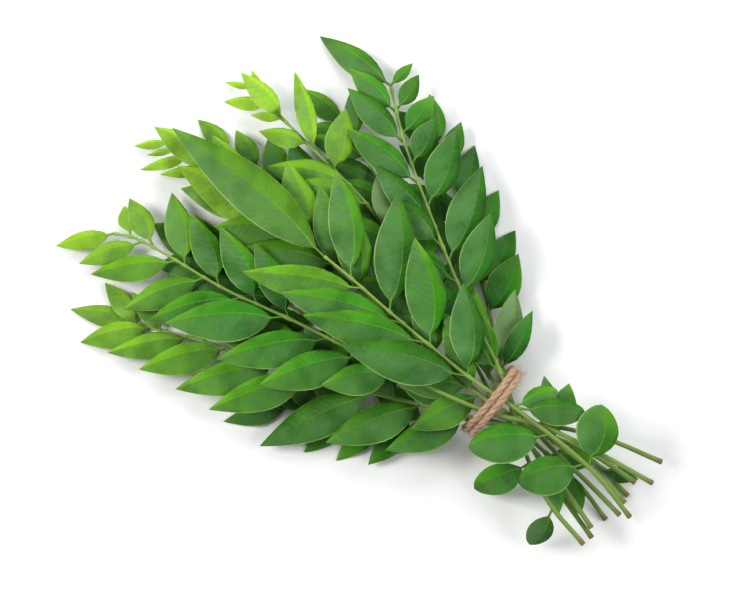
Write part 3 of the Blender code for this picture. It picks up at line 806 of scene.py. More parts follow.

# %% [markdown]
# Each layer of colour is mixed over the one before: patches of green, the yellow-green of young blades,
# the painted sheen on one half of each blade, darker patches with painted shade towards each blade's base,
# then veins and glands. The underside has its own colours, and the midrib and the margin come last. The
# relief reads the same veins, so that it lies where their colour does.

# %% Leaf finish
def leaf_finish():
    """The blade of every leaflet."""
    leaf = Finish("leaf_blade", IOR=1.42, Specular_IOR_Level=0.19)
    along, side = leaf.attribute("along"), leaf.attribute("across")
    across = abs(side)
    edge, upper, share = leaf.attribute("edge"), leaf.attribute("upper"), leaf.attribute("share")
    age, tint = leaf.attribute("age"), leaf.attribute("tint")
    wobble = leaf.noise(260.0, 3.0) - 0.5
    slant = across * VEIN_SLANT
    vein_count = (along - slant - across * across * VEIN_CURVE + wobble * 3.2) / VEIN_PITCH
    vein_distance = vein_count.to_line() * VEIN_PITCH
    vein = (1 - vein_distance / (0.30 - edge * 0.16)).within() * (1 - edge * 0.55)
    rib_fade = (1.0 - share * 1.05).within() ** 1.2
    rib = (1.2 - across / (0.36 - share * 0.22)).within() * rib_fade
    margin = ((edge - 0.955) * 30.0).within()
    cells = leaf.make("TexVoronoi", {"feature": "DISTANCE_TO_EDGE"}, Vector=leaf.place(), Scale=NET_SCALE)
    net = (1 - cells * 9.0).within()
    glands = leaf.make("TexVoronoi", Vector=leaf.place(), Scale=GLAND_SCALE)
    gland = (1 - glands * 4.5).within()
    mottle = leaf.noise(90.0, 4.0)
    broad = leaf.noise(28.0, 2.0)

    green = leaf.mix((mottle * 2.6 - 0.8).within(), DEEP_GREEN, FRESH_GREEN)
    green = leaf.mix((tint * 0.75).within(), green, FRESH_GREEN)
    green = leaf.mix(((0.55 - tint) * 0.8).within(), green, BLUE_GREEN)
    warm = (age + (broad - 0.5) * (age * 0.5 + 0.14) + share ** 3 * tint * 0.34 + edge ** 4 * tint * 0.10)
    green = leaf.mix(warm.within(), green, YOUNG_GREEN)
    # Painted sheen: one half of each blade is paled towards a greyish green, in place of the light it
    # reflects.
    bloom = (leaf.attribute("bloom") - 0.35).within() * (1.0 - wobble * 2.0) * (1 - age * 0.8)
    green = leaf.mix((bloom * 1.1).within(), green, PAINTED_SHEEN_GREEN)
    # Random darker patches, plus painted shade that darkens each blade towards its base, where other leaves
    # lie over it.
    patch_and_shade = (0.50 - leaf.noise(70.0, 2.0)) * 3.2 + (1 - share) ** 2 * 0.30
    green = leaf.mix((patch_and_shade * (1 - age * 0.7)).within() * 0.8, green, PATCH_AND_SHADE_GREEN)
    green = leaf.mix((vein * 0.26 + net * 0.16).within(), green, VEIN_GREEN)
    green = leaf.mix((gland * 0.14).within(), green, DARK_GLAND)
    under = leaf.mix((vein * 0.35 + net * 0.18).within(), UNDER_GREEN, UNDER_VEIN)
    under = leaf.mix((age * 0.5).within(), under, UNDER_YOUNG)
    green = leaf.mix(upper, under, green)
    green = leaf.mix((rib * 0.50).within(), green, RIB_GREEN)
    green = leaf.mix((margin * 0.60).within(), green, EDGE_GREEN)
    leaf.colour(green)

    wax = leaf.noise(160.0, 3.0)
    leaf.roughness((0.52 - upper * 0.12 + (wax - 0.5) * 0.16 + vein * 0.06 + age * 0.05).within())
    quilt = (vein_count.to_line() * 2.0) ** 0.6
    fold = across * FOLD_SLOPE + side * (tint - 0.5) * 0.30
    raised = fold + quilt * 0.065 * (1 - edge * 0.4) - net * 0.050 - rib * 0.05
    grain = leaf.noise(900.0, 3.0) * 0.085 + leaf.noise(420.0, 2.0) * 0.13 + wax * 0.06
    leaf.bump((upper * 2 - 1) * raised + grain, MM)
    return leaf.material


LEAF = leaf_finish()
print("leaf finish nodes:", len(LEAF.node_tree.nodes))

# %% [markdown]
# ## Finish: stem
#
# The stems are olive green with fine lengthwise lines and small pale pores. The cut end has dried to
# brown, and the thin end near the youngest leaflets is lighter.

# %% Stem finish
STEM_OLIVE = (0.210, 0.330, 0.060)
STEM_DEEP = (0.110, 0.205, 0.032)
STEM_YOUNG = (0.230, 0.400, 0.065)
STEM_PATCH = (0.200, 0.230, 0.060)
STEM_PORE = (0.300, 0.360, 0.140)
CUT_BROWN = (0.180, 0.095, 0.035)
DRIED_LENGTH = 4.0         # the brown of the cut end fades out over this length, in millimetres
STEM_RELIEF = 0.00025      # depth of the lines and pores, in metres


def stem_finish():
    """Stems: `along` runs in millimetres from the cut end and `ring` is a point of the section."""
    stem = Finish("stem_skin", IOR=1.45, Specular_IOR_Level=0.4)
    along = stem.attribute("along")
    streaks = stem.noise(3.0, 3.0, stem.lengthwise(along * 0.06, 1.4))
    patches = stem.noise(120.0, 3.0)
    pores = stem.make("TexVoronoi", Vector=stem.lengthwise(along * 0.7, 0.8), Scale=1.3)
    pore = (1 - pores * 5.0).within()
    dried = (1 - along / DRIED_LENGTH + (patches - 0.5) * 1.2).within()
    green = stem.mix((streaks * 1.5 - 0.25).within(), STEM_DEEP, STEM_OLIVE)
    green = stem.mix(stem.attribute("age"), green, STEM_YOUNG)
    green = stem.mix((patches * 2.2 - 1.2).within() * 0.5, green, STEM_PATCH)
    green = stem.mix(pore * 0.5, green, STEM_PORE)
    green = stem.mix(dried * 0.85, green, CUT_BROWN)
    stem.colour(green)
    stem.roughness((0.48 + (streaks - 0.5) * 0.2 + dried * 0.25).within())
    stem.bump((streaks * 0.5 + pore * 0.5).within(), STEM_RELIEF)
    return stem.material


STEM = stem_finish()
print("stem finish nodes:", len(STEM.node_tree.nodes))

# %% [markdown]
# ## Finish: jute
#
# Jute twine is a dry tan fibre. Each ply shows fine lines that run along it, some fibres are bleached
# and some are darker, and it has no gloss at all. The grooves between the plies get painted shade.

# %% Jute finish
JUTE_TAN = (0.620, 0.390, 0.225)
JUTE_PALE = (0.860, 0.660, 0.480)
# Darker fibres, and painted shade in the grooves between the plies
JUTE_DARK_AND_GROOVE_SHADE = (0.300, 0.155, 0.070)
JUTE_RELIEF = 0.0003


def jute_finish():
    """Twine and loose fibres."""
    jute = Finish("jute_fibre", IOR=1.4, Specular_IOR_Level=0.15, Sheen_Weight=0.25, Sheen_Roughness=0.5)
    along = jute.attribute("along")
    fibres = jute.noise(3.0, 4.0, jute.lengthwise(along * 0.25, 4.0))
    groove = jute.attribute("groove")
    patches = jute.noise(220.0, 3.0)
    tan = jute.mix((fibres * 2.4 - 0.7).within(), JUTE_DARK_AND_GROOVE_SHADE, JUTE_TAN)
    tan = jute.mix((fibres * 3.0 - 1.5).within() * 0.8, tan, JUTE_PALE)
    tan = jute.mix((patches * 1.6 - 0.5).within() * 0.35, tan, JUTE_PALE)
    # Painted shade: the grooves between the plies are darkened.
    tan = jute.mix((groove * groove * 0.35).within(), tan, JUTE_DARK_AND_GROOVE_SHADE)
    jute.colour(tan)
    jute.roughness((0.82 + (fibres - 0.5) * 0.2).within())
    jute.bump(fibres, JUTE_RELIEF)
    return jute.material


JUTE = jute_finish()
print("jute finish nodes:", len(JUTE.node_tree.nodes))

# %% [markdown]
# The floor is a plain matt white table, so that nothing competes with the greens.

# %% Floor finish
def floor_finish():
    """A matt white table."""
    white = Finish("white_table", Base_Color=(0.93, 0.93, 0.93), Specular_IOR_Level=0.2)
    white.roughness((0.7 + white.noise(40.0) * 0.1).within())
    return white.material


floor.data.materials.append(floor_finish())
print("finishes:", len(bpy.data.materials))

# %% [markdown]
# ## Leaf blades
#
# On the plant each blade is a thin sheet, a quarter of a millimetre thick, stiffened by its midrib. In
# the solid model it is a folded strip of flat faces. Here each blade is a closed shell: rings of points go
# around the section from the upper face, over the margin and back along the underside, from the short
# round stalk to the sharp tip. Modelling one leaf and instancing it would be quicker, but each blade
# here has its own length, width, fold and sag, so each gets its own shell from the same few rules.
#
# - The fold along the midrib is rounded and each half is slightly arched.
# - The margin is thin and waves up and down a little, and its outline is shallowly toothed.
# - The midrib stands out below and lies in a shallow groove above.
# - The midrib lies off the middle, towards one side of the bunch. The wider half carries a painted sheen.

# %% Sizes of a blade
BLADE_THICK = 0.26
BLADE_LIFT = 0.10          # the blade lies this far above the underside of its solid
FOLD_ROUNDING = 0.07
ARCH = 0.030               # how far each half is arched, as a share of the half width
RIB_DEPTH = 0.42           # how far the midrib stands out below
RIB_GROOVE = 0.07          # depth of the groove above it
RIB_WIDTH = 0.50
RIB_TAPER = 0.8            # share of its height that the midrib loses by the tip
STALK_BLEND = 0.07         # the stalk turns into the blade over this share of the length
WAVE_HEIGHT = 0.45         # how far the margin waves up and down
WAVE_LENGTH = 13.0
TOOTH = 0.26               # depth of the margin's teeth, which fade out towards the tip
TOOTH_PITCH = 3.1
STALK_OVERLAP = 0.4        # a stalk runs this far past the middle of its stem
LEAN = 0.44                # how far a midrib lies to one side of the middle, as a share of half the width
LEAN_LENGTH = 40.0         # longer leaflets lie flatter and lean less
LEAN_BEARING = (-0.105, -0.995)  # the direction in the plan towards which midribs lie off the middle
LEAN_SHARPNESS = 2.5       # how soon the lean is full as a blade turns away from that direction
PAINTED_SHEEN_EDGE = 9.0           # how sharply the painted sheen of one half ends at the midrib
SMOOTHING = np.linspace(-0.08, 0.08, 9)  # shares of the length over which corners are rounded
RING_PITCH = 0.85          # distance between rings of points along a blade
RING_LIMITS = (18, 64)     # fewest and most rings on one blade
BLADE_SHARP_ANGLE = math.radians(62)  # faces that meet at more than this show an edge

columns = np.array([0.0, 0.06, 0.16, 0.34, 0.55, 0.76, 0.92, 1.0])
TOP_ROW = np.concatenate([-columns[:0:-1], columns])
LOW_ROW = TOP_ROW[-2:0:-1]
print("points around one section:", len(TOP_ROW) + len(LOW_ROW))

# %% [markdown]
# `blade_points` gives one face of a blade. It starts from the plan and the heights of the solid leaflet,
# adds the fold, the arch and the wave, and then goes up or down from there by half the thickness of the
# sheet or of the stalk, and by the midrib.

# %% The section of a blade
def smooth_level(blade, t):
    """Height of the midrib with its corners rounded off, also a little past both ends."""
    total = 0
    for step in SMOOTHING:
        at = t + step
        inside = blade.level(np.clip(at, 0, 1))
        last = (blade.heights[-1] - blade.heights[-2]) / (1 - LEAF_STATIONS[-2])
        total = total + inside + np.maximum(at - 1, 0) * last
    return total / len(SMOOTHING)


def lean_of(blade):
    """How far the midrib leans to its left, or to its right when below 0, from -1 to 1."""
    turned_away = blade.bearing[0] * LEAN_BEARING[1] - blade.bearing[1] * LEAN_BEARING[0]
    return np.tanh(LEAN_SHARPNESS * turned_away)


def blade_points(blade, t, s, upper, phase):
    """Points of one face of a blade, in millimetres of the plan. t and s are grids."""
    half = blade.half(t)
    blade_share = np.clip((t - blade.outline[0]) / STALK_BLEND, 0, 1)
    tooth = TOOTH * np.abs(np.sin(np.pi * t * blade.length / TOOTH_PITCH + phase)) * blade_share * (1 - t)
    lean = LEAN * lean_of(blade) * blade_share * min(1, LEAN_LENGTH / blade.length)
    aside = s * (1 - tooth * np.abs(s) ** 4 / np.maximum(half, 1.0)) + lean * (1 - s ** 2)
    x, y = blade.plan(t, aside)
    spread = np.sqrt(s ** 2 + FOLD_ROUNDING ** 2) - FOLD_ROUNDING
    bend = half * (blade.fold * spread + blade.roll * s)
    arch = half * ARCH * np.sin(np.pi * np.abs(s)) * blade_share
    wave = WAVE_HEIGHT * np.sin(2 * np.pi * t * blade.length / WAVE_LENGTH + phase * (1 + np.sign(s)))
    wave = wave * np.abs(s) ** 3 * blade_share * np.sin(np.pi * np.clip(t, 0, 1)) ** 0.5
    middle = smooth_level(blade, t) + BLADE_LIFT + BLADE_THICK / 2 + bend + arch + wave
    round_half = np.sqrt(np.maximum(1 - s ** 2, 0))
    sheet = BLADE_THICK / 2 * np.maximum(1 - s ** 6, 0) ** 0.5
    stalk = STALK_HALF_WIDTH * round_half
    rib = np.exp(-(s * half / RIB_WIDTH) ** 2) * (1 - RIB_TAPER * t)
    low = sheet * blade_share + stalk * (1 - blade_share) + rib * RIB_DEPTH * blade_share * round_half
    top = sheet * blade_share + stalk * (1 - blade_share) - rib * RIB_GROOVE * blade_share
    return x, y, middle + np.where(upper, np.minimum(top, top * (1 - t) + sheet), -low)


end_blade = laid["centre"][1][0]
print("midrib of the centre's end leaflet, in mm:", smooth_level(end_blade, np.linspace(0, 1, 5)).round(1))

# %% [markdown]
# The points of a blade go into a closed shell: quads between its rings, and a fan at each end. With them
# go the numbers that the finish reads.

# %% The shell of one blade
def blade_shell(blade, phase):
    """Points, faces and the numbers that the finish reads, for one blade. Its stalk ends in the stem."""
    count = int(np.clip(blade.length / RING_PITCH, *RING_LIMITS))
    t = np.linspace(-(blade.reach + STALK_OVERLAP) / blade.length, 1, count)[:-1]
    row = np.concatenate([TOP_ROW, LOW_ROW])
    upper_row = np.concatenate([np.full(len(TOP_ROW), True), np.full(len(LOW_ROW), False)])
    t_grid, s_grid = np.meshgrid(t, row, indexing="ij")
    x, y, z = blade_points(blade, t_grid, s_grid, upper_row[None, :], phase)
    around = len(row)
    tip_x, tip_y = blade.plan(1.0, 0.0)
    tip_z = smooth_level(blade, 1.0) + BLADE_LIFT + BLADE_THICK / 2
    base = (x[0].mean(), y[0].mean(), z[0].mean())
    points = np.stack([x.ravel(), y.ravel(), z.ravel()], axis=1)
    points = np.vstack([points, [base, (tip_x, tip_y, tip_z)]])
    ring = np.arange(around)
    after = (ring + 1) % around
    quads = [np.stack([k * around + ring, k * around + after,
                       (k + 1) * around + after, (k + 1) * around + ring], axis=1)
             for k in range(len(t) - 1)]
    quads = np.vstack(quads)
    near, far = len(points) - 2, len(points) - 1
    last = (len(t) - 1) * around
    fans = np.vstack([np.stack([after, ring, np.full(around, near)], axis=1),
                      np.stack([last + ring, last + after, np.full(around, far)], axis=1)])
    is_upper = (ring < len(TOP_ROW) - 1).astype(float)
    upper = np.concatenate([np.tile(is_upper, len(t) - 1), is_upper, is_upper])
    share = np.concatenate([t_grid.ravel(), [t[0], 1.0]])
    edge = np.concatenate([s_grid.ravel(), [0.0, 0.0]])
    across = edge * blade.half(share)
    # Painted sheen: high on the wider half of the blade and low on the other, more so the more the blade
    # leans.
    bloom = 0.5 - 0.5 * np.tanh(edge * PAINTED_SHEEN_EDGE) * lean_of(blade)
    return {"points": points, "quads": quads, "fans": fans, "upper": upper, "share": share,
            "edge": np.abs(edge), "along": share * blade.length, "across": across,
            "bloom": bloom}


shell = blade_shell(end_blade, 0.0)
print("faces of its shell:", len(shell["quads"]) + len(shell["fans"]))

# %% [markdown]
# All the blades of a sprig make one object. Numbers that vary over a blade are stored on its points.
# Whether a face is an upper one, its age and its tint are stored on the face itself, so that they don't
# blend at the margin.

# %% The leaves of one sprig
def store(mesh, name, domain, values):
    """Put one number per point or face on a mesh."""
    layer = mesh.attributes.new(name, "FLOAT", domain)
    layer.data.foreach_set("value", np.asarray(values, dtype=np.float32))


def leaf_object(name, shells, ages, tints, turned):
    """One object that holds all the blades of a sprig."""
    points, faces, per_point, per_face = [], [], {}, {}
    start = 0
    for shell, age, tint, over in zip(shells, ages, tints, turned):
        points.append(shell["points"])
        faces += (shell["quads"] + start).tolist() + (shell["fans"] + start).tolist()
        start += len(shell["points"])
        for key in ("share", "edge", "along", "across", "bloom"):
            per_point.setdefault(key, []).append(shell[key])
        upper = 1 - shell["upper"] if over else shell["upper"]
        for key, value in (("upper", upper), ("age", np.full(len(upper), age)),
                           ("tint", np.full(len(upper), tint))):
            per_face.setdefault(key, []).append(value)
    points = np.vstack(points)
    mesh = bpy.data.meshes.new(name)
    mesh.from_pydata(world(points[:, 0], points[:, 1], points[:, 2]).tolist(), [], faces)
    for key, values in per_point.items():
        store(mesh, key, "POINT", np.concatenate(values))
    for key, values in per_face.items():
        store(mesh, key, "FACE", np.concatenate(values))
    mesh.shade_smooth()
    mesh.set_sharp_from_angle(angle=BLADE_SHARP_ANGLE)
    mesh.materials.append(LEAF)
    return add_object(name, mesh)

# %% [markdown]
# How green a leaflet is depends on its age. The youngest are at the tip of a sprig. For each sprig the
# table gives the age number of its old leaflets, the distance where they begin to look young, and the
# number at the very tip. A few leaflets differ from their neighbours, and two lie with their pale
# underside up.

# %% Ages
AGES = {
    "left_back": (0.02, 130, 0.10), "inner_back": (0.02, 160, 0.15), "mid_back": (0.04, 180, 0.45),
    "right_back": (0.0, 150, 0.08), "right_inner": (0.04, 170, 0.20), "mid_right": (0.08, 150, 0.95),
    "left_outer": (0.06, 150, 0.50), "mid_left": (0.14, 165, 0.86), "right": (0.02, 170, 0.12),
    "left_inner": (0.02, 185, 0.72), "centre": (0.04, 130, 0.12),
}
ODD_AGES = {("centre", 158): 0.20, ("centre", 139): 0.24, ("mid_left", 170): 0.62,
            ("mid_left", 164): 0.30}
TURNED_OVER = {("mid_right", 148), ("right_back", 79)}


def age_of(name, at, length):
    """How young a leaflet looks, from 0 to 1."""
    old, start, young = AGES[name]
    share = np.clip((at - start) / (length - start), 0, 1)
    return ODD_AGES.get((name, at), old + (young - old) * share)


print("sprigs with an age:", len(AGES), "odd leaflets:", len(ODD_AGES), "turned over:", len(TURNED_OVER))

# %% [markdown]
# Every blade gets its own place in the margin's waves and its own tint, from a fixed seed.

# %% Leaves of every sprig
FINE_SEED = 7
WAVE_STARTS = (0, 6)       # range of the angle, in radians, at which a blade's waves and teeth begin

varied = np.random.default_rng(FINE_SEED)
leaf_pieces = {}
for name, sprig in SPRIGS.items():
    stem, blades = laid[name]
    starts = [leaflet[0] for leaflet in sorted(sprig["leaflets"], reverse=True)]
    starts += [leaflet[1] for leaflet in BUTT_LEAFLETS if leaflet[0] == name]
    shells = [blade_shell(blade, varied.uniform(*WAVE_STARTS)) for blade in blades]
    ages = [age_of(name, at, stem.path.length) for at in starts]
    tints = varied.uniform(0, 1, len(blades))
    turned = [(name, at) in TURNED_OVER for at in starts]
    leaf_pieces[name] = leaf_object("leaves_" + name, shells, ages, tints, turned)
    print(name, len(blades), "blades", len(leaf_pieces[name].data.polygons), "faces")

# %% [markdown]
# ## Growing shapes along a path
#
# Stems and twine follow a line, and loose fibres are scattered over the twine. Geometry Nodes trees build
# all three. `Growth` makes such a tree in the same way as `Finish` makes a material. `grow` gives the tree
# its inputs, evaluates it and keeps the result as a plain mesh.

# %% A helper for Geometry Nodes trees
class Growth:
    """A Geometry Nodes tree with a geometry input, named number inputs and a material input."""

    def __init__(self, name, numbers):
        self.tree = bpy.data.node_groups.new(name, "GeometryNodeTree")
        face = self.tree.interface
        face.new_socket("Geometry", in_out="OUTPUT", socket_type="NodeSocketGeometry")
        face.new_socket("Geometry", in_out="INPUT", socket_type="NodeSocketGeometry")
        for label, kind in numbers.items():
            face.new_socket(label, in_out="INPUT", socket_type="NodeSocket" + kind)
        face.new_socket("Material", in_out="INPUT", socket_type="NodeSocketMaterial")
        self.start = self.tree.nodes.new("NodeGroupInput")

    def given(self, label):
        """One of the tree's inputs."""
        return Value(self.tree, self.start.outputs[label])

    def make(self, kind, settings=None, output=0, **inputs):
        """Any node: its settings first, then the values or links of its sockets."""
        node = self.tree.nodes.new(kind)
        for name, value in (settings or {}).items():
            setattr(node, name, value)
        for name, item in inputs.items():
            plug(self.tree, node.inputs[name.replace("_", " ")], item)
        return Value(self.tree, node.outputs[output])

    def stored(self, name):
        """A number stored on the geometry."""
        return self.make("GeometryNodeInputNamedAttribute", {"data_type": "FLOAT"}, Name=name)

    def store(self, geometry, name, value, kind="FLOAT"):
        """Store a number or vector on the points of the geometry."""
        return self.make("GeometryNodeStoreNamedAttribute", {"data_type": kind, "domain": "POINT"},
                         Geometry=geometry, Name=name, Value=value)

    def finish(self, geometry):
        """End the tree: real geometry, with its material."""
        solid = self.make("GeometryNodeRealizeInstances", Geometry=geometry)
        coloured = self.make("GeometryNodeSetMaterial", Geometry=solid, Material=self.given("Material"))
        end = self.tree.nodes.new("NodeGroupOutput")
        self.tree.links.new(coloured.socket, end.inputs[0])
        return self.tree


def grow(name, line, tree, material, **numbers):
    """Run a tree on a line object and keep the result as a plain mesh."""
    modifier = line.modifiers.new(name, "NODES")
    modifier.node_group = tree
    for item in tree.interface.items_tree:
        if item.in_out == "INPUT" and item.name == "Material":
            modifier[item.identifier] = material
        elif item.in_out == "INPUT" and item.name.replace(" ", "_") in numbers:
            modifier[item.identifier] = numbers[item.name.replace(" ", "_")]
    evaluated = line.evaluated_get(bpy.context.evaluated_depsgraph_get())
    mesh = bpy.data.meshes.new_from_object(evaluated)
    line.modifiers.remove(modifier)
    return mesh

# %% [markdown]
# A line is a small mesh of points and edges whose radius and twist are stored on the points. Stems and
# twine use one tree, which sweeps a section along the line, round for a stem and lobed for twine. It
# stores `ring`, the point of the section, and `groove`, which is 1 in the grooves between the lobes.

# %% A tube along a line
PLIES = 3                  # lobes of the section


def line_object(name, points, **numbers):
    """A mesh line through some points, with numbers stored on them."""
    mesh = bpy.data.meshes.new(name)
    mesh.from_pydata(points.tolist(), [(k, k + 1) for k in range(len(points) - 1)], [])
    for key, values in numbers.items():
        store(mesh, key, "POINT", values)
    return add_object(name, mesh)


def softened(values, window):
    """The values averaged with a soft window, which leaves out half a window at each end."""
    weights = np.hanning(window)
    return np.convolve(values, weights / weights.sum(), mode="valid")


def sweep_tree():
    """A round or lobed section swept along a line, with its twist and radius read from the line."""
    sweep = Growth("sweep", {"Sides": "Int", "Lobe Depth": "Float"})
    curve = sweep.make("GeometryNodeMeshToCurve", Mesh=sweep.given("Geometry"))
    curve = sweep.make("GeometryNodeSetCurveTilt", Curve=curve, Tilt=sweep.stored("twist"))
    ring = sweep.make("GeometryNodeCurvePrimitiveCircle", {"mode": "RADIUS"}, output="Curve",
                      Resolution=sweep.given("Sides"), Radius=1.0)
    around = sweep.make("GeometryNodeSplineParameter", output="Factor")
    unit = sweep.make("GeometryNodeInputPosition")
    ring = sweep.store(ring, "ring", unit, "FLOAT_VECTOR")
    from_groove = (around * PLIES).to_line() * 2
    scale = 1 - sweep.given("Lobe Depth") * (1 - from_groove) ** 2
    shaped = sweep.make("ShaderNodeVectorMath", {"operation": "SCALE"}, Vector=unit, Scale=scale)
    ring = sweep.make("GeometryNodeSetPosition", Geometry=ring, Position=shaped)
    groove = sweep.store(ring, "groove", 1 - from_groove)
    tube = sweep.make("GeometryNodeCurveToMesh", Curve=curve, Profile_Curve=groove,
                      Scale=sweep.stored("radius"), Fill_Caps=True)
    smooth = sweep.make("GeometryNodeSetShadeSmooth", Geometry=tube, Shade_Smooth=True)
    return sweep.finish(smooth)


SWEEP = sweep_tree()
print("sweep tree nodes:", len(SWEEP.nodes))

# %% [markdown]
# ## Stems
#
# Each stem is the stalk of one compound leaf: green, about 2.2 mm thick at its cut end and thinning to
# 1 mm. It swells a little where each leaflet's stalk joins it and at its cut end, and it isn't quite
# even. The sweep follows the same line as the solid stem.

# %% Stems of every sprig
JOINT_SWELL = 0.28         # extra radius where a leaflet joins, in millimetres
JOINT_LENGTH = 1.1
BASE_SWELL = 0.10          # extra radius at the cut end
BASE_LENGTH = 2.0
STEM_POINT = 0.8           # distance between points of a stem's line
STEM_SHARE = 0.88          # a fine stem's radius, as a share of its solid's
STEM_SIDES = 14
STEM_WINDOW = 11           # points over which a stem's height is averaged
STEM_UNEVEN = (-0.05, 0.05)
STEM_RIPPLES = 40


def stem_object(name, stem, joints, unevenness):
    """The tube of one stem. Its height is mirrored past both ends, so that they aren't pulled in."""
    distance = np.linspace(0, stem.path.length, int(stem.path.length / STEM_POINT))
    x, y, _, _, height, radius = stem.place(distance)
    half = STEM_WINDOW // 2
    before = 2 * height[0] - height[half:0:-1]
    after = 2 * height[-1] - height[-2:-2 - half:-1]
    height = softened(np.concatenate([before, height, after]), STEM_WINDOW)
    swell = BASE_SWELL * np.exp(-(distance / BASE_LENGTH) ** 2)
    for joint in joints:
        swell = swell + JOINT_SWELL * np.exp(-((distance - joint) / JOINT_LENGTH) ** 2)
    ripple = np.interp(distance, np.linspace(0, stem.path.length, len(unevenness)), unevenness)
    radius = (radius * STEM_SHARE + np.minimum(swell, JOINT_SWELL)) * (1 + ripple)
    line = line_object("line_" + name, world(x, y, height), radius=radius * MM,
                       twist=np.zeros(len(x)), along=distance, age=(distance / distance[-1]) ** 2)
    mesh = grow("stem_" + name, line, SWEEP, STEM, Sides=STEM_SIDES, Lobe_Depth=0.0)
    bpy.data.objects.remove(line)
    return add_object("main_stem_" + name, mesh)


stem_pieces = {}
for name, sprig in SPRIGS.items():
    joints = [leaflet[0] for leaflet in sprig["leaflets"]]
    unevenness = varied.uniform(*STEM_UNEVEN, STEM_RIPPLES)
    stem_pieces[name] = stem_object(name, laid[name][0], joints, unevenness)
    print(name, "stem", len(stem_pieces[name].data.polygons), "faces")

# %% [markdown]
# ## Jute tie
#
# The tie is three-ply jute: two tight turns side by side, with the step from one to the other under the
# bunch, where both ends are tucked. The line follows the outline of the bundle, as in the solid model,
# with its corners rounded. A three-lobed section turns once every 13 mm along it, which makes the plies.

# %% Twine
PLY_TURN = 13.0            # length in which the plies go once around, in millimetres
TURNS = (0.03, 1.90)       # where the twine starts and ends, in turns
TURN_SHIFT = (0.93, 0.10)  # where it starts to cross to its second turn, and for how long
TWINE_POINTS = 420
TWINE_SIDES = 30
TWINE_WINDOW = 13          # points over which its corners are rounded
TWINE_FULLNESS = 1.04      # its radius at the lobes, as a share of its solid's
TWINE_UNEVEN = (-0.06, 0.06)
TWINE_RIPPLES = 60
LOBE_DEPTH = 0.30


def twine_line():
    """Points of the twine's middle in the plan, and the distance of each along it."""
    lowest = np.lexsort((abs(outline[:-1, 0]), outline[:-1, 1].round(3)))[0]
    loop = np.vstack([outline[lowest:-1], outline[:lowest + 1]])
    lengths = np.hypot(*np.diff(loop, axis=0).T)
    at = np.concatenate([[0], np.cumsum(lengths)])
    turns = np.linspace(*TURNS, TWINE_POINTS)
    around = (turns % 1.0) * at[-1]
    y = np.interp(around, at, loop[:, 0])
    z = np.interp(around, at, loop[:, 1])
    half = TWINE_WINDOW // 2
    y[half:-half] = softened(y, TWINE_WINDOW)
    z[half:-half] = softened(z, TWINE_WINDOW)
    shift = np.clip((turns - TURN_SHIFT[0]) / TURN_SHIFT[1], 0, 1)
    x = TWINE_PITCH * (shift * shift * (3 - 2 * shift) - 0.5)
    steps = np.sqrt(np.diff(x) ** 2 + np.diff(y) ** 2 + np.diff(z) ** 2)
    return x, y, z, np.concatenate([[0], np.cumsum(steps)])


x, y, z, twine_at = twine_line()
ripples = varied.uniform(*TWINE_UNEVEN, TWINE_RIPPLES)
uneven = np.interp(twine_at, np.linspace(0, twine_at[-1], TWINE_RIPPLES), ripples)
line = line_object("twine_line", world(x, y, z), radius=TWINE_RADIUS * MM * (TWINE_FULLNESS + uneven),
                   twist=2 * math.pi * twine_at / PLY_TURN, along=twine_at)
twine = add_object("twine", grow("twine", line, SWEEP, JUTE, Sides=TWINE_SIDES, Lobe_Depth=LOBE_DEPTH))
bpy.data.objects.remove(line)
print("twine length:", round(twine_at[-1], 1), "mm", len(twine.data.polygons), "faces")

# %% [markdown]
# Jute is hairy: the ends of its short fibres stand off the twine. Blender's own hair could grow them, but
# a few faces for each make an ordinary mesh, like everything else here. Each is a curved, three-sided hair.

# %% One loose fibre
FIBRE_LENGTH = 0.0042      # in metres, like the radius
FIBRE_RADIUS = 0.00007
FIBRE_TAPER = 0.7          # share of its radius that a fibre loses by its end
FIBRE_BEND = (0.75, 0.35)  # how far its end goes sideways and sinks, as shares of its length
HAIR_STEPS = 5
HAIR_SIDES = 3


def hair_mesh():
    """One hair: a thin tapering tube that starts upright and bends over."""
    points, faces = [], []
    aside, sink = FIBRE_BEND
    for step in range(HAIR_STEPS + 1):
        share = step / HAIR_STEPS
        middle = Vector((share ** 2 * aside, 0.0, share * (1 - share * sink))) * FIBRE_LENGTH
        low, high = HAIR_SIDES * (step - 1), HAIR_SIDES * step
        for side in range(HAIR_SIDES):
            angle = 2 * math.pi * side / HAIR_SIDES
            reach = FIBRE_RADIUS * (1 - FIBRE_TAPER * share)
            points.append(middle + Vector((math.cos(angle), math.sin(angle), 0)) * reach)
            after = (side + 1) % HAIR_SIDES
            if step:
                faces.append((low + side, low + after, high + after, high + side))
    ring = list(range(HAIR_SIDES))
    faces += [tuple(ring[::-1]), tuple(HAIR_SIDES * HAIR_STEPS + k for k in ring)]
    mesh = bpy.data.meshes.new("hair")
    mesh.from_pydata([p[:] for p in points], [], faces)
    store(mesh, "along", "POINT", [p.z / FIBRE_LENGTH for p in points])
    return mesh


hair = add_object("hair", hair_mesh())
print("faces of one fibre:", len(hair.data.polygons))

# %% [markdown]
# The tree scatters points over the twine, tips and spins a hair at each, and gives each its own size.
# Points that lie lower than the length of a fibre get none, so that no fibre goes into the floor.

# %% Loose fibres
FIBRE_LEAN = (-1.3, 0.1)   # least and most angle by which a fibre is tipped from upright, in radians
FIBRE_SIZE = (0.25, 1.0)
FIBRES_PER_AREA = 450000.0
FIBRE_SEED = 3


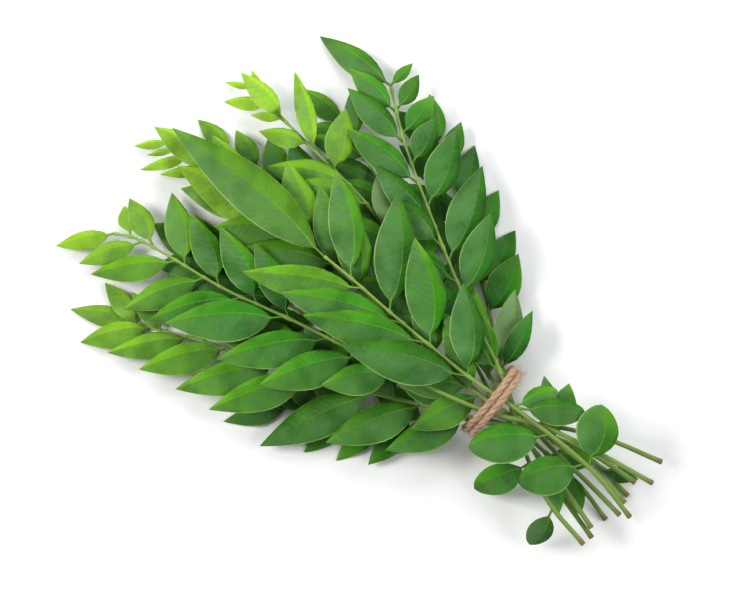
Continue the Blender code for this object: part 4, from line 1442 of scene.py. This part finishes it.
def fibre_tree(hair):
    """Hairs scattered over a surface, but none so low that they would reach the floor."""
    fuzz = Growth("fuzz", {"Per Area": "Float", "Seed": "Int"})
    scatter = fuzz.tree.nodes.new("GeometryNodeDistributePointsOnFaces")
    fuzz.tree.links.new(fuzz.given("Geometry").socket, scatter.inputs["Mesh"])
    fuzz.tree.links.new(fuzz.given("Per Area").socket, scatter.inputs["Density"])
    fuzz.tree.links.new(fuzz.given("Seed").socket, scatter.inputs["Seed"])
    height = fuzz.make("ShaderNodeSeparateXYZ", output="Z", Vector=fuzz.make("GeometryNodeInputPosition"))
    off_the_floor = fuzz.make("FunctionNodeCompare", A=height, B=FIBRE_LENGTH)
    fuzz.tree.links.new(off_the_floor.socket, scatter.inputs["Selection"])
    info = fuzz.make("GeometryNodeObjectInfo", output="Geometry", Object=hair)
    spin = fuzz.make("FunctionNodeRandomValue", {"data_type": "FLOAT"}, output=1, Max=2 * math.pi)
    lean = fuzz.make("FunctionNodeRandomValue", {"data_type": "FLOAT"}, output=1,
                     Min=FIBRE_LEAN[0], Max=FIBRE_LEAN[1])
    size = fuzz.make("FunctionNodeRandomValue", {"data_type": "FLOAT"}, output=1,
                     Min=FIBRE_SIZE[0], Max=FIBRE_SIZE[1])
    turn_by = fuzz.make("ShaderNodeCombineXYZ", X=0.0, Y=lean, Z=spin)
    local = fuzz.make("FunctionNodeEulerToRotation", Euler=turn_by)
    turned = fuzz.make("FunctionNodeRotateRotation", {"rotation_space": "LOCAL"},
                       Rotation=Value(fuzz.tree, scatter.outputs["Rotation"]), Rotate_By=local)
    placed = fuzz.make("GeometryNodeInstanceOnPoints", Points=Value(fuzz.tree, scatter.outputs["Points"]),
                       Instance=info, Rotation=turned, Scale=size)
    return fuzz.finish(placed)


bare = add_object("bare_twine", twine.data.copy())
fibre_mesh = grow("fibres", bare, fibre_tree(hair), JUTE, Per_Area=FIBRES_PER_AREA, Seed=FIBRE_SEED)
fibres = add_object("twine_fibres", fibre_mesh)
for spare in (hair, bare):
    bpy.data.objects.remove(spare)
print("fibres:", len(fibres.data.polygons), "faces")

# %% [markdown]
# ## Putting the pieces in place of the solids
#
# Every fine piece now takes over from its solids. A whole sprig is one node, because its stem and blades
# are joined, so its leaves and its stem both stand in for it.

# %% Hand the pieces over
nodes = sorted(frame["nodes"])
for name, sprig in SPRIGS.items():
    leaves, stem_piece = leaf_pieces[name], stem_pieces[name]
    for piece in (leaves, stem_piece):
        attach(piece, "root")
    if sprig["whole"]:
        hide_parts("sprig_" + name)
        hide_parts("sprig_" + name)
    else:
        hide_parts(*[n for n in nodes if n.startswith("leaflet_" + name + "_")])
        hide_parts("stem_" + name)
for piece in (twine, fibres):
    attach(piece, "root")
    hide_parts("jute_tie")
